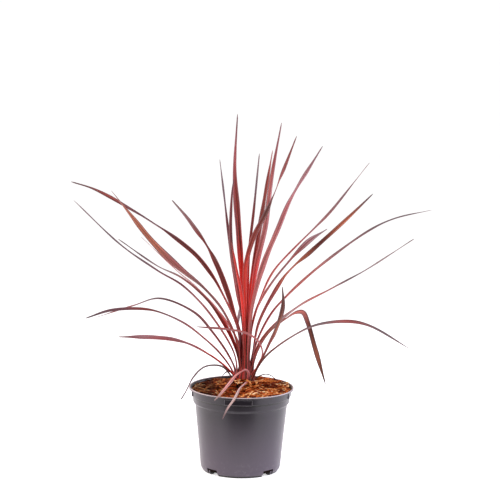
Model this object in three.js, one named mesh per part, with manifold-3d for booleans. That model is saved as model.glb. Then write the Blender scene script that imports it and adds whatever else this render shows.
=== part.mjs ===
// Potted cabbage tree: a young red-leaved cordyline in a round nursery pot, in millimetres with +Z up.
// The origin is the middle of the pot's foot, on the surface that the pot stands on.
// Azimuths are degrees about +Z from +X. The plant's front, seen in a picture of it, faces -Y.

import * as THREE from "three";
import { mergeVertices } from "three/addons/utils/BufferGeometryUtils.js";
import Module from "manifold-3d";

const wasm = await Module();
wasm.setup();

// Driving dimensions

const GAP = 0.3; // clearance between pieces that touch

const RIM_RADIUS = 85;
const POT_HEIGHT = 136.5;
const POT_WALL = 1.2;
const POT_SIDES = 48;
const LIP_RADIUS = 80.8;
const LIP_BOTTOM = 123;
const BAND_RADIUS = 78.4;
const BAND_BOTTOM = 112;
const SHOULDER_RADIUS = 74.6;
const FOOT_RADIUS = 64.6;
const FOOT_RING_OUTER = 61;
const FOOT_RING_INNER = 53;
const FOOT_LIFT = 3;
const PAD_RADIUS = 24;

const DRAIN_AZIMUTHS = [45, 135, 225, 315];
const DRAIN_WIDTH = 22;
const DRAIN_TOP = 10;
const DRAIN_RIB = 3;
const DRAIN_RIB_OFFSET = 6.5; // from the slot's middle, toward the pot's left or right side
const DRAIN_RIB_INSET = 1.4; // how far the rib stands back from the wall's face

const COMPOST_CLEARANCE = 0.6; // to the pot's wall, measured from corner to corner
const BARK_CLEARANCE = 0.7;
const COMPOST_TOP = 120;
const SOIL_LEVEL = 134; // bark surface beside the stem
const BARK_EDGE_LEVEL = 131.8; // bark surface at the pot's wall
const BARK_MOUND = 3.5; // extra height at the right, behind the stem
const BARK_MOUND_PLACE = [32, 46];
const BARK_MOUND_REACH = 30;
const BARK_HEAP = 5.5; // extra height against the stem
const BARK_HEAP_REACH = 26;
const BARK_SIDES = 28;
const BARK_CHIPS = 90;
const CHIP_LENGTHS = [13, 23];
const CHIP_WIDTHS = [4.5, 8];
const CHIP_HEIGHTS = [3.5, 5];
const CHIP_TILTS = [-0.3, 0.3]; // radians about a chip's length
const CHIP_PITCHES = [-0.12, 0.12];
const BED_DROP = 0.8; // of the bed below the level of its chips
const GOLDEN_ANGLE = 137.5;

const STEM_X = 4; // the stem's axis at the bark, from where it leans to the crown's axis
const CROWN_X = 6.5; // upright axis that the leaves' courses are measured from
const STEM_RADIUS = 16.5;
const STEM_HEIGHT = 76; // above the bark
const STEM_DEPTH = 26; // below the bark
const STEM_SIDES = 24;
// The stem's radius at heights above the bark, each as [height, radius]
const STEM_TAPER = [
  [0, STEM_RADIUS],
  [16, 16],
  [24, 13.5],
  [34, 9.5],
  [46, 6.6],
  [60, 4.2],
  [STEM_HEIGHT, 2.2],
];

const BLADE_THICKNESS = 0.85;
// Degrees that each half of a blade stands up from flat, at even steps from base to tip
const BLADE_FOLD = [0, 24, 12, 12, 12, 12];
const BLADE_STEPS = 16;

// Leaves, from the lowest and most drooping to the innermost and most upright.
// seat: height above the bark where the leaf leaves the stem.
// turn: azimuth of the leaf, at its seat and at each point of its course, or one value for all of them.
// course: points that the midrib passes, each as [distance out from the crown's axis, height above the bark].
// width: of the blade, at even steps from base to tip.
// roll: degrees that the blade is turned about its midrib, at even steps from base to tip.
const LEAVES = [
  // Short leaves that droop over the rim
  { seat: 10, turn: [279, 276, 268, 262, 261, 259, 254, 250], finish: "rose",
    width: [3, 3.8, 4.2, 4.2, 3.5, 1.3], roll: [0, 0],
    course: [[22, 14], [42, 15], [61, 12], [82, 8], [92, 1], [98, -12], [103, -29]] },
  { seat: 14, turn: [290, 284, 281, 268, 251, 247, 244, 239], finish: "rose",
    width: [4, 4.5, 5.5, 6, 5, 1.3], roll: [0, -10, -45, -75, -80, -80],
    course: [[19, 20], [23, 30], [28, 35], [45, 29], [60, 21], [86, 8], [94, -3]] },
  { seat: 11, turn: 190, finish: "bronze",
    width: [4, 4.5, 4.5, 4, 3, 1.3], roll: [0, 0],
    course: [[30, 28], [38, 35], [50, 38], [68, 35], [85, 19], [97, -4], [105, -17]] },
  { seat: 9, turn: 142, finish: "bronze",
    width: [4, 5, 5, 4, 3, 1.3], roll: [0, 0],
    course: [[24, 19], [32, 22], [42, 19], [50, 10]] },

  // Low arching leaves
  { seat: 12, turn: 226, finish: "red",
    width: [4, 6, 8, 8, 7, 1.3], roll: [0, -10, -20, -45, -60, -50],
    course: [[26, 23], [54, 47], [91, 70], [145, 95], [196, 108], [276, 120]] },
  { seat: 12, turn: [329, 326, 324, 324, 324, 324, 324, 324], finish: "rose",
    width: [4, 6, 8, 8, 6, 1.3], roll: [0, 5, 10, 35, 15, 0],
    course: [[19, 28], [36, 53], [66, 79], [126, 115], [184, 131], [230, 131], [307, 104]] },
  { seat: 8, turn: [306, 301, 298, 298, 298, 298, 298], finish: "bronze",
    width: [4, 6, 7.5, 9, 8.5, 1.3], roll: [0, 20, 20, 0, -10, -20],
    course: [[24, 23], [46, 48], [71, 76], [102, 115], [121, 155], [117, 184]] },
  { seat: 24, turn: [324, 330, 332, 334, 334, 334, 334, 334, 334], finish: "bronze",
    width: [4, 6, 8, 8.5, 8, 1.3], roll: [0, 10, 15, 65, 70, 70],
    course: [[20, 59], [39, 92], [65, 116], [91, 132], [100, 132], [108, 117], [120, 82], [141, 21]] },
  { seat: 18, turn: 163, finish: "maroon",
    width: [4, 6, 8, 7.5, 5.5, 1.6], roll: [0, -10, -10, -10, -20, -20],
    course: [[19, 31], [31, 53], [59, 88], [90, 117], [149, 136], [195, 121], [261, 97]] },
  { seat: 16, turn: 204, finish: "maroon",
    width: [4, 6, 8, 8, 6, 1.6], roll: [0, -10, -10, -15, -40, -50],
    course: [[24, 31], [43, 57], [71, 84], [113, 115], [165, 137], [229, 141], [272, 131]] },
  { seat: 28, turn: 180, finish: "maroon",
    width: [4, 6, 8, 7.5, 5.5, 1.8], roll: [0, -8, -8, -10, -15, -15],
    course: [[19, 57], [66, 128], [105, 166], [144, 189], [203, 230], [278, 301]] },
  { seat: 14, turn: 94, finish: "maroon",
    width: [4, 6, 8, 7.5, 5, 1.3], roll: [0, 0],
    course: [[20, 40], [60, 85], [120, 105], [185, 85], [230, 50]] },
  { seat: 20, turn: 86, finish: "red",
    width: [4, 6, 8, 7.5, 5, 1.3], roll: [0, 0],
    course: [[18, 55], [50, 105], [110, 140], [180, 145], [245, 120]] },
  { seat: 26, turn: [356, 352, 347, 344, 344, 344, 344], finish: "rose",
    width: [4, 8, 6.5, 5.5, 4.5, 1.8], roll: [0, 50, 20, 12, 12, 12],
    course: [[15, 57], [35, 91], [86, 138], [135, 168], [193, 203], [269, 257]] },
  { seat: 28, turn: 20, finish: "rose",
    width: [4, 6, 8, 7.5, 5.5, 1.8], roll: [0, 5, 12, 12, 12, 12],
    course: [[15, 64], [42, 117], [69, 146], [130, 196], [215, 251], [258, 268], [323, 280]] },
  { seat: 16, turn: [306, 309, 312, 308, 295, 273, 247, 220], finish: "rose",
    width: [3.5, 4.5, 4.5, 4.5, 3.5, 1.3], roll: [0, 45, 55, 40, 35, 35],
    course: [[18, 27], [33, 45], [43, 66], [47, 86], [49, 99], [60, 106], [103, 112]] },

  // Leaves that lean out at about half way up
  { seat: 32, turn: 140, finish: "maroon",
    width: [4, 8, 7, 6, 4.5, 1.8], roll: [0, -30, -5, -5, -5, -5],
    course: [[18, 52], [29, 74], [48, 99], [88, 135], [142, 163], [197, 177], [287, 213]] },
  { seat: 36, turn: 126, finish: "rose",
    width: [4, 6, 7, 6.5, 4.5, 1.3], roll: [0, 40, 45, 45, 40, 40],
    course: [[22, 70], [68, 107], [133, 139], [205, 164], [317, 208]] },
  { seat: 34, turn: 91, finish: "maroon",
    width: [4, 6, 8, 7.5, 5, 1.3], roll: [0, 0],
    course: [[16, 75], [50, 130], [110, 160], [190, 165], [270, 140], [325, 98]] },
  { seat: 34, turn: 212, finish: "bronze",
    width: [4, 6, 7.5, 11.5, 8.5, 1.5], roll: [0, 10, 15, 25, 45, 62, 65, 30, -15],
    course: [[20, 82], [45, 129], [82, 170], [126, 205], [172, 248], [245, 332]] },
  { seat: 38, turn: 54, finish: "rose",
    width: [4, 6, 8, 9, 9, 1.3], roll: [0, -10, -20, -25, 30, 40],
    course: [[18, 101], [31, 127], [69, 161], [120, 193], [173, 220], [230, 236]] },
  { seat: 42, turn: 152, finish: "maroon",
    width: [4, 7, 9.5, 8, 6.5, 1.8], roll: [0, 10, 14, -30, -35, 15, -30, -40, -40],
    course: [[15, 91], [31, 126], [81, 195], [122, 226], [216, 273], [290, 303], [337, 313]] },
  { seat: 38, turn: [4, 0, 356, 356, 356, 356, 356], finish: "maroon",
    width: [4, 7, 8.5, 8, 7, 1.5], roll: [0, 15, 35, 45, 5, 50, 50, 45, 40],
    course: [[12, 64], [22, 109], [63, 186], [101, 224], [158, 279], [198, 320]] },
  { seat: 44, turn: 38, finish: "red",
    width: [4, 6, 7, 7, 5.5, 1.6], roll: [0, -10, -20, -30, -30, -10, 20, -15, -20],
    course: [[12, 97], [31, 147], [56, 186], [106, 226], [167, 270], [256, 352]] },
  { seat: 44, turn: [120, 124, 128, 128, 128, 128, 127], finish: "maroon",
    width: [4, 7, 10, 9.5, 7, 1.8], roll: [0, -10, -20, -20, -15, 32, -10, -10, -10],
    course: [[15, 78], [27, 105], [55, 154], [89, 198], [154, 251], [214, 283]] },

  // Upright leaves round the growing point
  { seat: 48, turn: 312, finish: "rose",
    width: [4.5, 8, 11, 10, 8, 1.5], roll: [0, -10, -15, -15, -15, -15, 8, -20, -20],
    course: [[9, 96], [16, 140], [42, 210], [73, 269], [98, 314], [167, 404]] },
  { seat: 52, turn: [98, 103, 106, 106, 106, 106], finish: "maroon",
    width: [3, 5, 6, 5.5, 4, 1.3], roll: [0, 30, 30, 30, 30, 30],
    course: [[19, 91], [65, 149], [105, 210], [140, 280], [178, 353]] },
  { seat: 50, turn: 45, finish: "rose",
    width: [3.5, 7, 9.5, 9.5, 7, 1.5], roll: [0, 5, 10, 10],
    course: [[6, 94], [9, 142], [15, 190], [35, 292], [54, 382]] },
  { seat: 52, turn: 248, finish: "red",
    width: [3, 5.5, 7, 6, 4, 1.3], roll: [0, 0],
    course: [[10, 90], [16, 130], [26, 162], [39, 187], [68, 247]] },
  { seat: 56, turn: [80, 84, 86, 84, 80, 80], finish: "maroon",
    width: [3, 4, 5, 5, 3.5, 1.5], roll: [0, 10, 20, 20, 20, 20],
    course: [[10, 94], [15, 150], [22, 215], [53, 283], [99, 371]] },
  { seat: 58, turn: [344, 339, 336, 335, 335, 335, 335], finish: "rose",
    width: [4, 7.5, 10, 10, 6.5, 1.3], roll: [0, -30, -50, -50, -45, -40],
    course: [[6, 95], [8, 130], [17, 199], [31, 262], [41, 345], [56, 431]] },
  { seat: 60, turn: 222, finish: "maroon",
    width: [4, 7.5, 10, 9, 5.5, 1.3], roll: [0, 10, 15, 15, 15, 15],
    course: [[7, 90], [10, 114], [23, 178], [36, 238], [35, 316], [31, 341]] },
  { seat: 65, turn: [284, 282, 264, 266, 282, 294, 300, 306], finish: "bronze",
    width: [4, 7, 9.5, 9.5, 6, 1.3], roll: [0, 0, 0, 0, 0, 10, 60, -10, -10],
    course: [[4, 90], [7, 125], [28, 200], [51, 254], [70, 292], [92, 340], [124, 417]] },
  { seat: 69, turn: 122, finish: "red",
    width: [4.5, 9, 11.5, 13, 5.5, 1.3], roll: [0, 0],
    course: [[4, 95], [8, 126], [18, 178], [31, 260], [43, 346], [36, 440]] },
];

const LEAF_COLOURS = { maroon: 0x7a3a3c, red: 0x9c3a32, rose: 0xb0625a, bronze: 0x8a5240 };

// Solids

function solidOf(geometry) {
  const bare = geometry.clone();
  bare.deleteAttribute("normal");
  bare.deleteAttribute("uv");
  const merged = mergeVertices(bare, 1e-3);
  return new wasm.Manifold(
    new wasm.Mesh({
      numProp: 3,
      vertProperties: merged.attributes.position.array,
      triVerts: new Uint32Array(merged.index.array),
    }),
  );
}

function geometryOf(solid) {
  const mesh = solid.getMesh();
  const geometry = new THREE.BufferGeometry();
  geometry.setAttribute("position", new THREE.BufferAttribute(new Float32Array(mesh.vertProperties), 3));
  geometry.setIndex(new THREE.BufferAttribute(new Uint32Array(mesh.triVerts), 1));
  return geometry;
}

// A solid of revolution about +Z from [radius, height] pairs that start and end on the axis, lowest first.
function turned(profile, sides) {
  const points = profile.map(([radius, height]) => new THREE.Vector2(radius, height));
  return new THREE.LatheGeometry(points, sides).rotateX(Math.PI / 2);
}

function onAzimuth(azimuth, out, height) {
  const angle = THREE.MathUtils.degToRad(azimuth);
  return new THREE.Vector3(out * Math.cos(angle), out * Math.sin(angle), height);
}

// Repeatable draws between 0 and 1
function seededDraw(seed) {
  let state = seed;
  return () => {
    state = (state * 1664525 + 1013904223) % 4294967296;
    return state / 4294967296;
  };
}

// Pot

function innerRadiusAt(height) {
  if (height > LIP_BOTTOM) return LIP_RADIUS - POT_WALL;
  if (height > BAND_BOTTOM) return BAND_RADIUS - POT_WALL;
  const share = (height - FOOT_LIFT) / (BAND_BOTTOM - FOOT_LIFT);
  return THREE.MathUtils.lerp(FOOT_RADIUS, SHOULDER_RADIUS, share) - POT_WALL;
}

function potGeometry() {
  const floorTop = FOOT_LIFT + POT_WALL;
  const profile = [
    [0, 0],
    [PAD_RADIUS, 0],
    [PAD_RADIUS + 1.5, FOOT_LIFT],
    [FOOT_RING_INNER, FOOT_LIFT],
    [FOOT_RING_INNER + 0.6, 0],
    [FOOT_RING_OUTER, 0],
    [FOOT_RING_OUTER + 0.4, 1.8],
    [FOOT_RADIUS - 1.1, 3.8],
    [FOOT_RADIUS, 7],
    [SHOULDER_RADIUS, BAND_BOTTOM - 2.5],
    [BAND_RADIUS - 0.6, BAND_BOTTOM],
    [BAND_RADIUS + 0.4, LIP_BOTTOM - 0.6],
    [LIP_RADIUS - 0.4, LIP_BOTTOM],
    [LIP_RADIUS + 0.5, POT_HEIGHT - 3.6],
    [RIM_RADIUS - 0.4, POT_HEIGHT - 3],
    [RIM_RADIUS, POT_HEIGHT - 1.6],
    [RIM_RADIUS - 0.9, POT_HEIGHT],
    [RIM_RADIUS - 2.4, POT_HEIGHT - 0.4],
    [innerRadiusAt(POT_HEIGHT), POT_HEIGHT - 3],
    [innerRadiusAt(POT_HEIGHT), LIP_BOTTOM + POT_WALL],
    [innerRadiusAt(LIP_BOTTOM), LIP_BOTTOM + POT_WALL],
    [innerRadiusAt(LIP_BOTTOM), BAND_BOTTOM],
    [innerRadiusAt(BAND_BOTTOM), BAND_BOTTOM - 2.5],
    [innerRadiusAt(floorTop + 3), floorTop + 3],
    [innerRadiusAt(floorTop) - 2, floorTop],
    [0, floorTop],
  ];
  let pot = solidOf(turned(profile, POT_SIDES));
  DRAIN_AZIMUTHS.forEach((azimuth, i) => {
    for (const slot of drainSlot(azimuth, i % 2 === 0 ? -1 : 1)) pot = pot.subtract(slot);
  });
  return geometryOf(pot);
}

// A drain slot at the foot's corner: a shallow outer recess, and two passages with a rib between them.
// side is 1 or -1, for a rib that stands on the slot's left or right as seen from the axis.
function drainSlot(azimuth, side) {
  const turn = THREE.MathUtils.degToRad(azimuth);
  const cut = (from, to, near, far) => {
    const box = new THREE.BoxGeometry(to - from, far - near, DRAIN_TOP + 4);
    box.translate((from + to) / 2, (side * (near + far)) / 2, (DRAIN_TOP - 4) / 2);
    return solidOf(box.rotateZ(turn));
  };
  const half = DRAIN_WIDTH / 2;
  const ribNear = DRAIN_RIB_OFFSET - DRAIN_RIB / 2;
  const ribFar = DRAIN_RIB_OFFSET + DRAIN_RIB / 2;
  return [
    cut(FOOT_RADIUS - DRAIN_RIB_INSET, FOOT_RADIUS + 6, -half, half),
    cut(FOOT_RING_INNER - 3, FOOT_RADIUS, -half, ribNear),
    cut(FOOT_RING_INNER - 3, FOOT_RADIUS, ribFar, half),
  ];
}

// Compost: the root ball's soil, which fills the pot up to the bark.

// The plain hole that the stem stands in; its flats, not its corners, keep the gap.
function stemHole() {
  const radius = (STEM_RADIUS + GAP) / Math.cos(Math.PI / STEM_SIDES);
  const depth = 60;
  const hole = new THREE.CylinderGeometry(radius, radius, depth, STEM_SIDES).rotateX(Math.PI / 2);
  return solidOf(hole.translate(STEM_X, 0, SOIL_LEVEL - STEM_DEPTH - GAP + depth / 2));
}

function compostGeometry() {
  const bottom = FOOT_LIFT + POT_WALL + GAP;
  const profile = [
    [0, bottom],
    [innerRadiusAt(bottom) - 2 - COMPOST_CLEARANCE, bottom],
    [innerRadiusAt(bottom + 3) - COMPOST_CLEARANCE, bottom + 3],
    [innerRadiusAt(BAND_BOTTOM - 3) - COMPOST_CLEARANCE, BAND_BOTTOM - 3],
    [innerRadiusAt(BAND_BOTTOM + 1) - COMPOST_CLEARANCE, BAND_BOTTOM + 1],
    [innerRadiusAt(COMPOST_TOP) - COMPOST_CLEARANCE, COMPOST_TOP],
    [0, COMPOST_TOP],
  ];
  return geometryOf(solidOf(turned(profile, POT_SIDES)).subtract(stemHole()));
}

// Bark mulch: a mounded bed with chips that stand out of it.

const BARK_NECK = innerRadiusAt(LIP_BOTTOM) - BARK_CLEARANCE;
const BARK_EDGE = innerRadiusAt(POT_HEIGHT) - BARK_CLEARANCE;
const BARK_CEILING = 150;

function barkLevel(x, y) {
  const share = Math.min(1, Math.hypot(x, y) / innerRadiusAt(POT_HEIGHT));
  const dome = THREE.MathUtils.lerp(SOIL_LEVEL, BARK_EDGE_LEVEL, share ** 3);
  const fromMound = Math.hypot(x - BARK_MOUND_PLACE[0], y - BARK_MOUND_PLACE[1]);
  const mound = BARK_MOUND * Math.exp(-((fromMound / BARK_MOUND_REACH) ** 2));
  const heap = BARK_HEAP * Math.exp(-((Math.hypot(x - STEM_X, y) / BARK_HEAP_REACH) ** 4));
  return dome + mound + heap - BED_DROP;
}

// The space that bark can fill: inside the band, and above the ledge inside the lip.
function barkSpace(rings) {
  const profile = [
    [0, COMPOST_TOP + GAP],
    [BARK_NECK, COMPOST_TOP + GAP],
    [BARK_NECK, LIP_BOTTOM + POT_WALL + GAP],
    [BARK_EDGE, LIP_BOTTOM + POT_WALL + GAP],
    ...rings.map((share) => [BARK_EDGE * share, BARK_CEILING]),
  ];
  return turned(profile, BARK_SIDES);
}

function barkBed() {
  const bed = barkSpace([1, 0.7, 0.42, 0.27, 0]);
  const place = bed.attributes.position;
  for (let i = 0; i < place.count; i += 1) {
    if (place.getZ(i) > BARK_CEILING - 1) place.setZ(i, barkLevel(place.getX(i), place.getY(i)));
  }
  return solidOf(bed);
}

function barkGeometry() {
  const draw = seededDraw(7);
  const between = (low, high) => THREE.MathUtils.lerp(low, high, draw());
  let bark = barkBed();
  for (let n = 0; n < BARK_CHIPS; n += 1) {
    const length = between(...CHIP_LENGTHS);
    const width = between(...CHIP_WIDTHS);
    const height = between(...CHIP_HEIGHTS);
    const out = Math.sqrt(between(0.08, 1)) * (BARK_EDGE - length / 3);
    const place = onAzimuth(n * GOLDEN_ANGLE, out, 0);
    const chip = new THREE.BoxGeometry(length, width, height)
      .rotateX(between(...CHIP_TILTS))
      .rotateY(between(...CHIP_PITCHES))
      .rotateZ(between(0, Math.PI))
      .translate(place.x, place.y, barkLevel(place.x, place.y) - 0.6);
    bark = bark.add(solidOf(chip));
  }
  return geometryOf(bark.intersect(solidOf(barkSpace([1, 0]))).subtract(stemHole()));
}

// Stem: a short trunk that narrows to the growing point.

function stemRadiusAt(height) {
  const above = STEM_TAPER.findIndex(([level]) => level >= height);
  if (above < 1) return STEM_RADIUS;
  const [low, lowRadius] = STEM_TAPER[above - 1];
  const [high, highRadius] = STEM_TAPER[above];
  return THREE.MathUtils.mapLinear(height, low, high, lowRadius, highRadius);
}

// How far the stem's axis stands from the crown's axis at a height
function stemLeanAt(height) {
  return (STEM_X - CROWN_X) * (1 - THREE.MathUtils.clamp(height / STEM_HEIGHT, 0, 1));
}

function stemGeometry() {
  const profile = [
    [0, -STEM_DEPTH],
    [STEM_RADIUS - 2, -STEM_DEPTH],
    [STEM_RADIUS, -STEM_DEPTH + 3],
    ...STEM_TAPER.map(([height, radius]) => [radius, height]),
    [0, STEM_HEIGHT + 1],
  ];
  const stem = turned(profile, STEM_SIDES);
  const place = stem.attributes.position;
  for (let i = 0; i < place.count; i += 1) place.setX(i, place.getX(i) + stemLeanAt(place.getZ(i)));
  return stem;
}

// Leaf: a strap blade with a shallow V across it, drawn along its course.

// Values that stand at even steps along a blade, eased from each to the next
function alongBlade(values, share) {
  const place = THREE.MathUtils.clamp(share, 0, 1) * (values.length - 1);
  const first = Math.min(Math.floor(place), values.length - 2);
  const eased = THREE.MathUtils.smoothstep(place - first, 0, 1);
  return THREE.MathUtils.lerp(values[first], values[first + 1], eased);
}

// The leaf's azimuth at its seat, which is place 0, or at a point of its course
function turnAt(leaf, place) {
  return Array.isArray(leaf.turn) ? leaf.turn[place] : leaf.turn;
}

function midribCurve(leaf) {
  const seatOut = stemRadiusAt(leaf.seat) + GAP + BLADE_THICKNESS / 2 + 0.1;
  const seat = onAzimuth(turnAt(leaf, 0), seatOut, leaf.seat);
  seat.x += stemLeanAt(leaf.seat);
  const points = leaf.course.map(([out, up], i) => onAzimuth(turnAt(leaf, i + 1), out, up));
  return new THREE.CatmullRomCurve3([seat, ...points], false, "centripetal");
}

function leafGeometry(leaf) {
  const curve = midribCurve(leaf);
  const centres = curve.getPoints(BLADE_STEPS);
  const travelled = [0];
  for (let i = 1; i < centres.length; i += 1) {
    travelled.push(travelled[i - 1] + centres[i].distanceTo(centres[i - 1]));
  }
  const across = onAzimuth(turnAt(leaf, 0) + 90, 1, 0);
  const positions = [];
  centres.forEach((centre, i) => {
    const share = travelled[i] / travelled[travelled.length - 1];
    const along = curve.getTangent(i / (centres.length - 1));
    across.addScaledVector(along, -across.dot(along)).normalize();
    const roll = THREE.MathUtils.degToRad(alongBlade(leaf.roll, share));
    const side = across.clone().applyAxisAngle(along, roll);
    const upper = along.clone().cross(side);
    const fold = THREE.MathUtils.degToRad(alongBlade(BLADE_FOLD, share));
    const half = alongBlade(leaf.width, share) / 2;
    for (const [reach, lift] of [[-1, 1], [0, 0], [1, 1]]) {
      for (const face of [0.5, -0.5]) {
        const point = centre.clone();
        point.addScaledVector(side, reach * half * Math.cos(fold));
        point.addScaledVector(upper, lift * half * Math.sin(fold) + face * BLADE_THICKNESS);
        positions.push(point.x, point.y, point.z);
      }
    }
  });
  const geometry = new THREE.BufferGeometry();
  geometry.setAttribute("position", new THREE.Float32BufferAttribute(positions, 3));
  geometry.setIndex(bladeFaces(centres.length));
  return geometry;
}

// Triangles of a blade with six points a ring: left, midrib and right, each with its upper and lower point.
// Both faces are split along the same diagonals, so that the blade keeps its thickness.
function bladeFaces(rings) {
  const faces = [];
  const quad = (a, b, c, d) => faces.push(a, b, c, a, c, d);
  for (let ring = 0; ring < rings - 1; ring += 1) {
    const here = ring * 6;
    const next = here + 6;
    for (const left of [0, 2]) {
      quad(here + left, next + left, next + left + 2, here + left + 2);
      quad(here + left + 1, here + left + 3, next + left + 3, next + left + 1);
    }
    quad(here, here + 1, next + 1, next);
    quad(here + 4, next + 4, next + 5, here + 5);
  }
  const last = (rings - 1) * 6;
  for (const left of [0, 2]) {
    quad(left, left + 2, left + 3, left + 1);
    quad(last + left, last + left + 1, last + left + 3, last + left + 2);
  }
  return faces;
}

// Assembly

const pottedCabbageTree = new THREE.Group();

function addPiece(name, geometry, colour, roughness) {
  const material = new THREE.MeshStandardMaterial({ color: colour, roughness, metalness: 0 });
  const piece = new THREE.Mesh(geometry, material);
  piece.name = name;
  pottedCabbageTree.add(piece);
  return piece;
}

addPiece("pot", potGeometry(), 0x5a535b, 0.55);
addPiece("compost", compostGeometry(), 0x33241b, 0.95);
addPiece("bark_mulch", barkGeometry(), 0x7e4a2a, 0.9);
addPiece("stem", stemGeometry(), 0x8c4a3e, 0.7).position.set(CROWN_X, 0, SOIL_LEVEL);

LEAVES.forEach((leaf, i) => {
  const name = `leaf_${String(i + 1).padStart(2, "0")}`;
  addPiece(name, leafGeometry(leaf), LEAF_COLOURS[leaf.finish], 0.5).position.set(CROWN_X, 0, SOIL_LEVEL);
});

export default pottedCabbageTree;
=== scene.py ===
# Potted cabbage tree: a young red-leaved cordyline in a round plastic nursery pot topped with bark.
# Metres, +Z up. The pot stands on z = 0 about the Z axis, and the plant's front faces -Y.

import math
import random

import bmesh
import bpy
import numpy as np
from mathutils import Matrix, Vector


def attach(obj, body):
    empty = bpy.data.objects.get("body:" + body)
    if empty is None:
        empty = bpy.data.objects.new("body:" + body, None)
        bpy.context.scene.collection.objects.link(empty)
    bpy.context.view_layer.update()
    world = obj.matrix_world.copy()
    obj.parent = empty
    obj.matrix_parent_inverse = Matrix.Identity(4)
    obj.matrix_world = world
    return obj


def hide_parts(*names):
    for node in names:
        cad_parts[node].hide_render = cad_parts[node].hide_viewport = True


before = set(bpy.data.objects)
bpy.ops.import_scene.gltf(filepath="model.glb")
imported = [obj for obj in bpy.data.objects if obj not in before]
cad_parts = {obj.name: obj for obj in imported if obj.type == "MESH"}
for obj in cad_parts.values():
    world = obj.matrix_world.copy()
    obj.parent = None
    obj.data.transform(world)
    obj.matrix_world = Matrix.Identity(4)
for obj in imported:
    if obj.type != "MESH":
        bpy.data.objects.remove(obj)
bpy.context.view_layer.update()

# Camera
# A long lens stands nearly three metres in front of the plant and looks down a little on it, so that the
# bark shows as a flat ellipse inside the rim. It leans by less than a degree.

LENS_MM = 129.6
LENS_TILT, LENS_LEAN = 8.4, 0.85  # degrees
CAMERA_PLACE = (0.0106, -2.8453, 0.7793)

lens = bpy.data.cameras.new("long_lens")
lens.sensor_width = 36.0
lens.lens = LENS_MM
lens.clip_end = 900.0
camera = bpy.data.objects.new("camera", lens)
camera.matrix_world = (
    Matrix.Translation(CAMERA_PLACE)
    @ Matrix.Rotation(math.radians(90.0 - LENS_TILT), 4, "X")
    @ Matrix.Rotation(math.radians(LENS_LEAN), 4, "Z")
)
bpy.context.scene.collection.objects.link(camera)
bpy.context.scene.camera = camera
bpy.context.scene.view_settings.view_transform = "Standard"

# Studio
# A white light table in a dim white surround, with a wide soft light at each side and one above. A black
# flag in front of the pot shows only in reflections, so that the pot's middle is darker than its flanks.

SURROUND = "#ffffff"
SURROUND_SEEN, SURROUND_LIGHT = 1.0, 0.5
SOFTBOXES = (  # name, place, size, watts and colour
    ("softbox_left", (-0.95, 0.10, 0.40), (1.3, 0.9), 11.0, "#ffe9ea"),
    ("softbox_right", (0.95, 0.05, 0.40), (1.3, 0.9), 13.5, "#eae6ff"),
    ("softbox_top", (-0.2, -0.35, 1.7), (1.2, 1.0), 17.0, "#ffffff"),
)
SOFTBOX_AIM = Vector((0.0, 0.0, 0.2))
FLOOR_HALF = 300.0
TABLE_GLOW = 0.56
FLAG_HALF, FLAG_HEIGHT = 0.135, 0.20
FLAG_PLACE = -0.21  # in front of the pot


def linear(colour):
    """An sRGB hex colour as the linear red, green, blue and alpha that Blender mixes."""
    channels = [int(colour[i : i + 2], 16) / 255 for i in (1, 3, 5)]
    return tuple(c / 12.92 if c <= 0.04045 else ((c + 0.055) / 1.055) ** 2.4 for c in channels) + (1.0,)


def set_inputs(node, inputs):
    """Sets inputs to values, or links them from sockets, or from the first output that a node has in use."""
    for name, value in inputs.items():
        for source in value if isinstance(value, list) else [value]:
            if isinstance(source, bpy.types.Node):
                source = next(output for output in source.outputs if output.enabled)
            if isinstance(source, bpy.types.NodeSocket):
                node.id_data.links.new(source, node.inputs[name])
            else:
                node.inputs[name].default_value = source


def add_node(tree, kind, inputs=None, stops=(), **settings):
    """A node with its settings, the colour stops of its ramp if it is one, and its inputs."""
    node = tree.nodes.new(kind)
    for name, value in settings.items():
        setattr(node, name, value)
    for _ in stops[2:]:
        node.color_ramp.elements.new(0.5)
    for i, (position, colour) in enumerate(stops):
        node.color_ramp.elements[i].position = position
        node.color_ramp.elements[i].color = linear(colour)
    set_inputs(node, inputs or {})
    return node


def new_finish(name):
    """A material with its shader and the object's coordinates, ready for the finish's own nodes."""
    finish = bpy.data.materials.new(name)
    finish.use_nodes = True
    tree = finish.node_tree
    return finish, tree, tree.nodes["Principled BSDF"], add_node(tree, "ShaderNodeTexCoord").outputs["Object"]


def grained_finish(name, grain, stops, surface, bump=None):
    """A matt material whose colour runs over the stops, and whose surface may rise, with one fine grain."""
    finish, tree, shader, place = new_finish(name)
    noise = add_node(tree, "ShaderNodeTexNoise", {"Vector": place, **grain})
    tint = add_node(tree, "ShaderNodeValToRGB", {"Fac": noise}, stops=stops)
    set_inputs(shader, {"Base Color": tint, **surface})
    if bump:
        set_inputs(shader, {"Normal": add_node(tree, "ShaderNodeBump", {"Height": noise, **bump})})
    return finish


def flat_sheet(name, corners, finish):
    """One flat quadrilateral of the studio, as a stage object."""
    mesh = bpy.data.meshes.new(name)
    mesh.from_pydata(corners, [], [(0, 1, 2, 3)])
    mesh.materials.append(finish)
    sheet = bpy.data.objects.new(name, mesh)
    bpy.context.scene.collection.objects.link(sheet)
    return sheet


surround = bpy.data.worlds.new("white_surround")
surround.use_nodes = True
seen = add_node(surround.node_tree, "ShaderNodeLightPath").outputs["Is Camera Ray"]
steps = {0: seen, 1: SURROUND_SEEN - SURROUND_LIGHT, 2: SURROUND_LIGHT}
strength = add_node(surround.node_tree, "ShaderNodeMath", steps, operation="MULTIPLY_ADD")
set_inputs(surround.node_tree.nodes["Background"], {"Color": linear(SURROUND), "Strength": strength})
surround.cycles.sampling_method = "NONE"  # so that the flag can shade the surround's reflections
bpy.context.scene.world = surround

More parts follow.
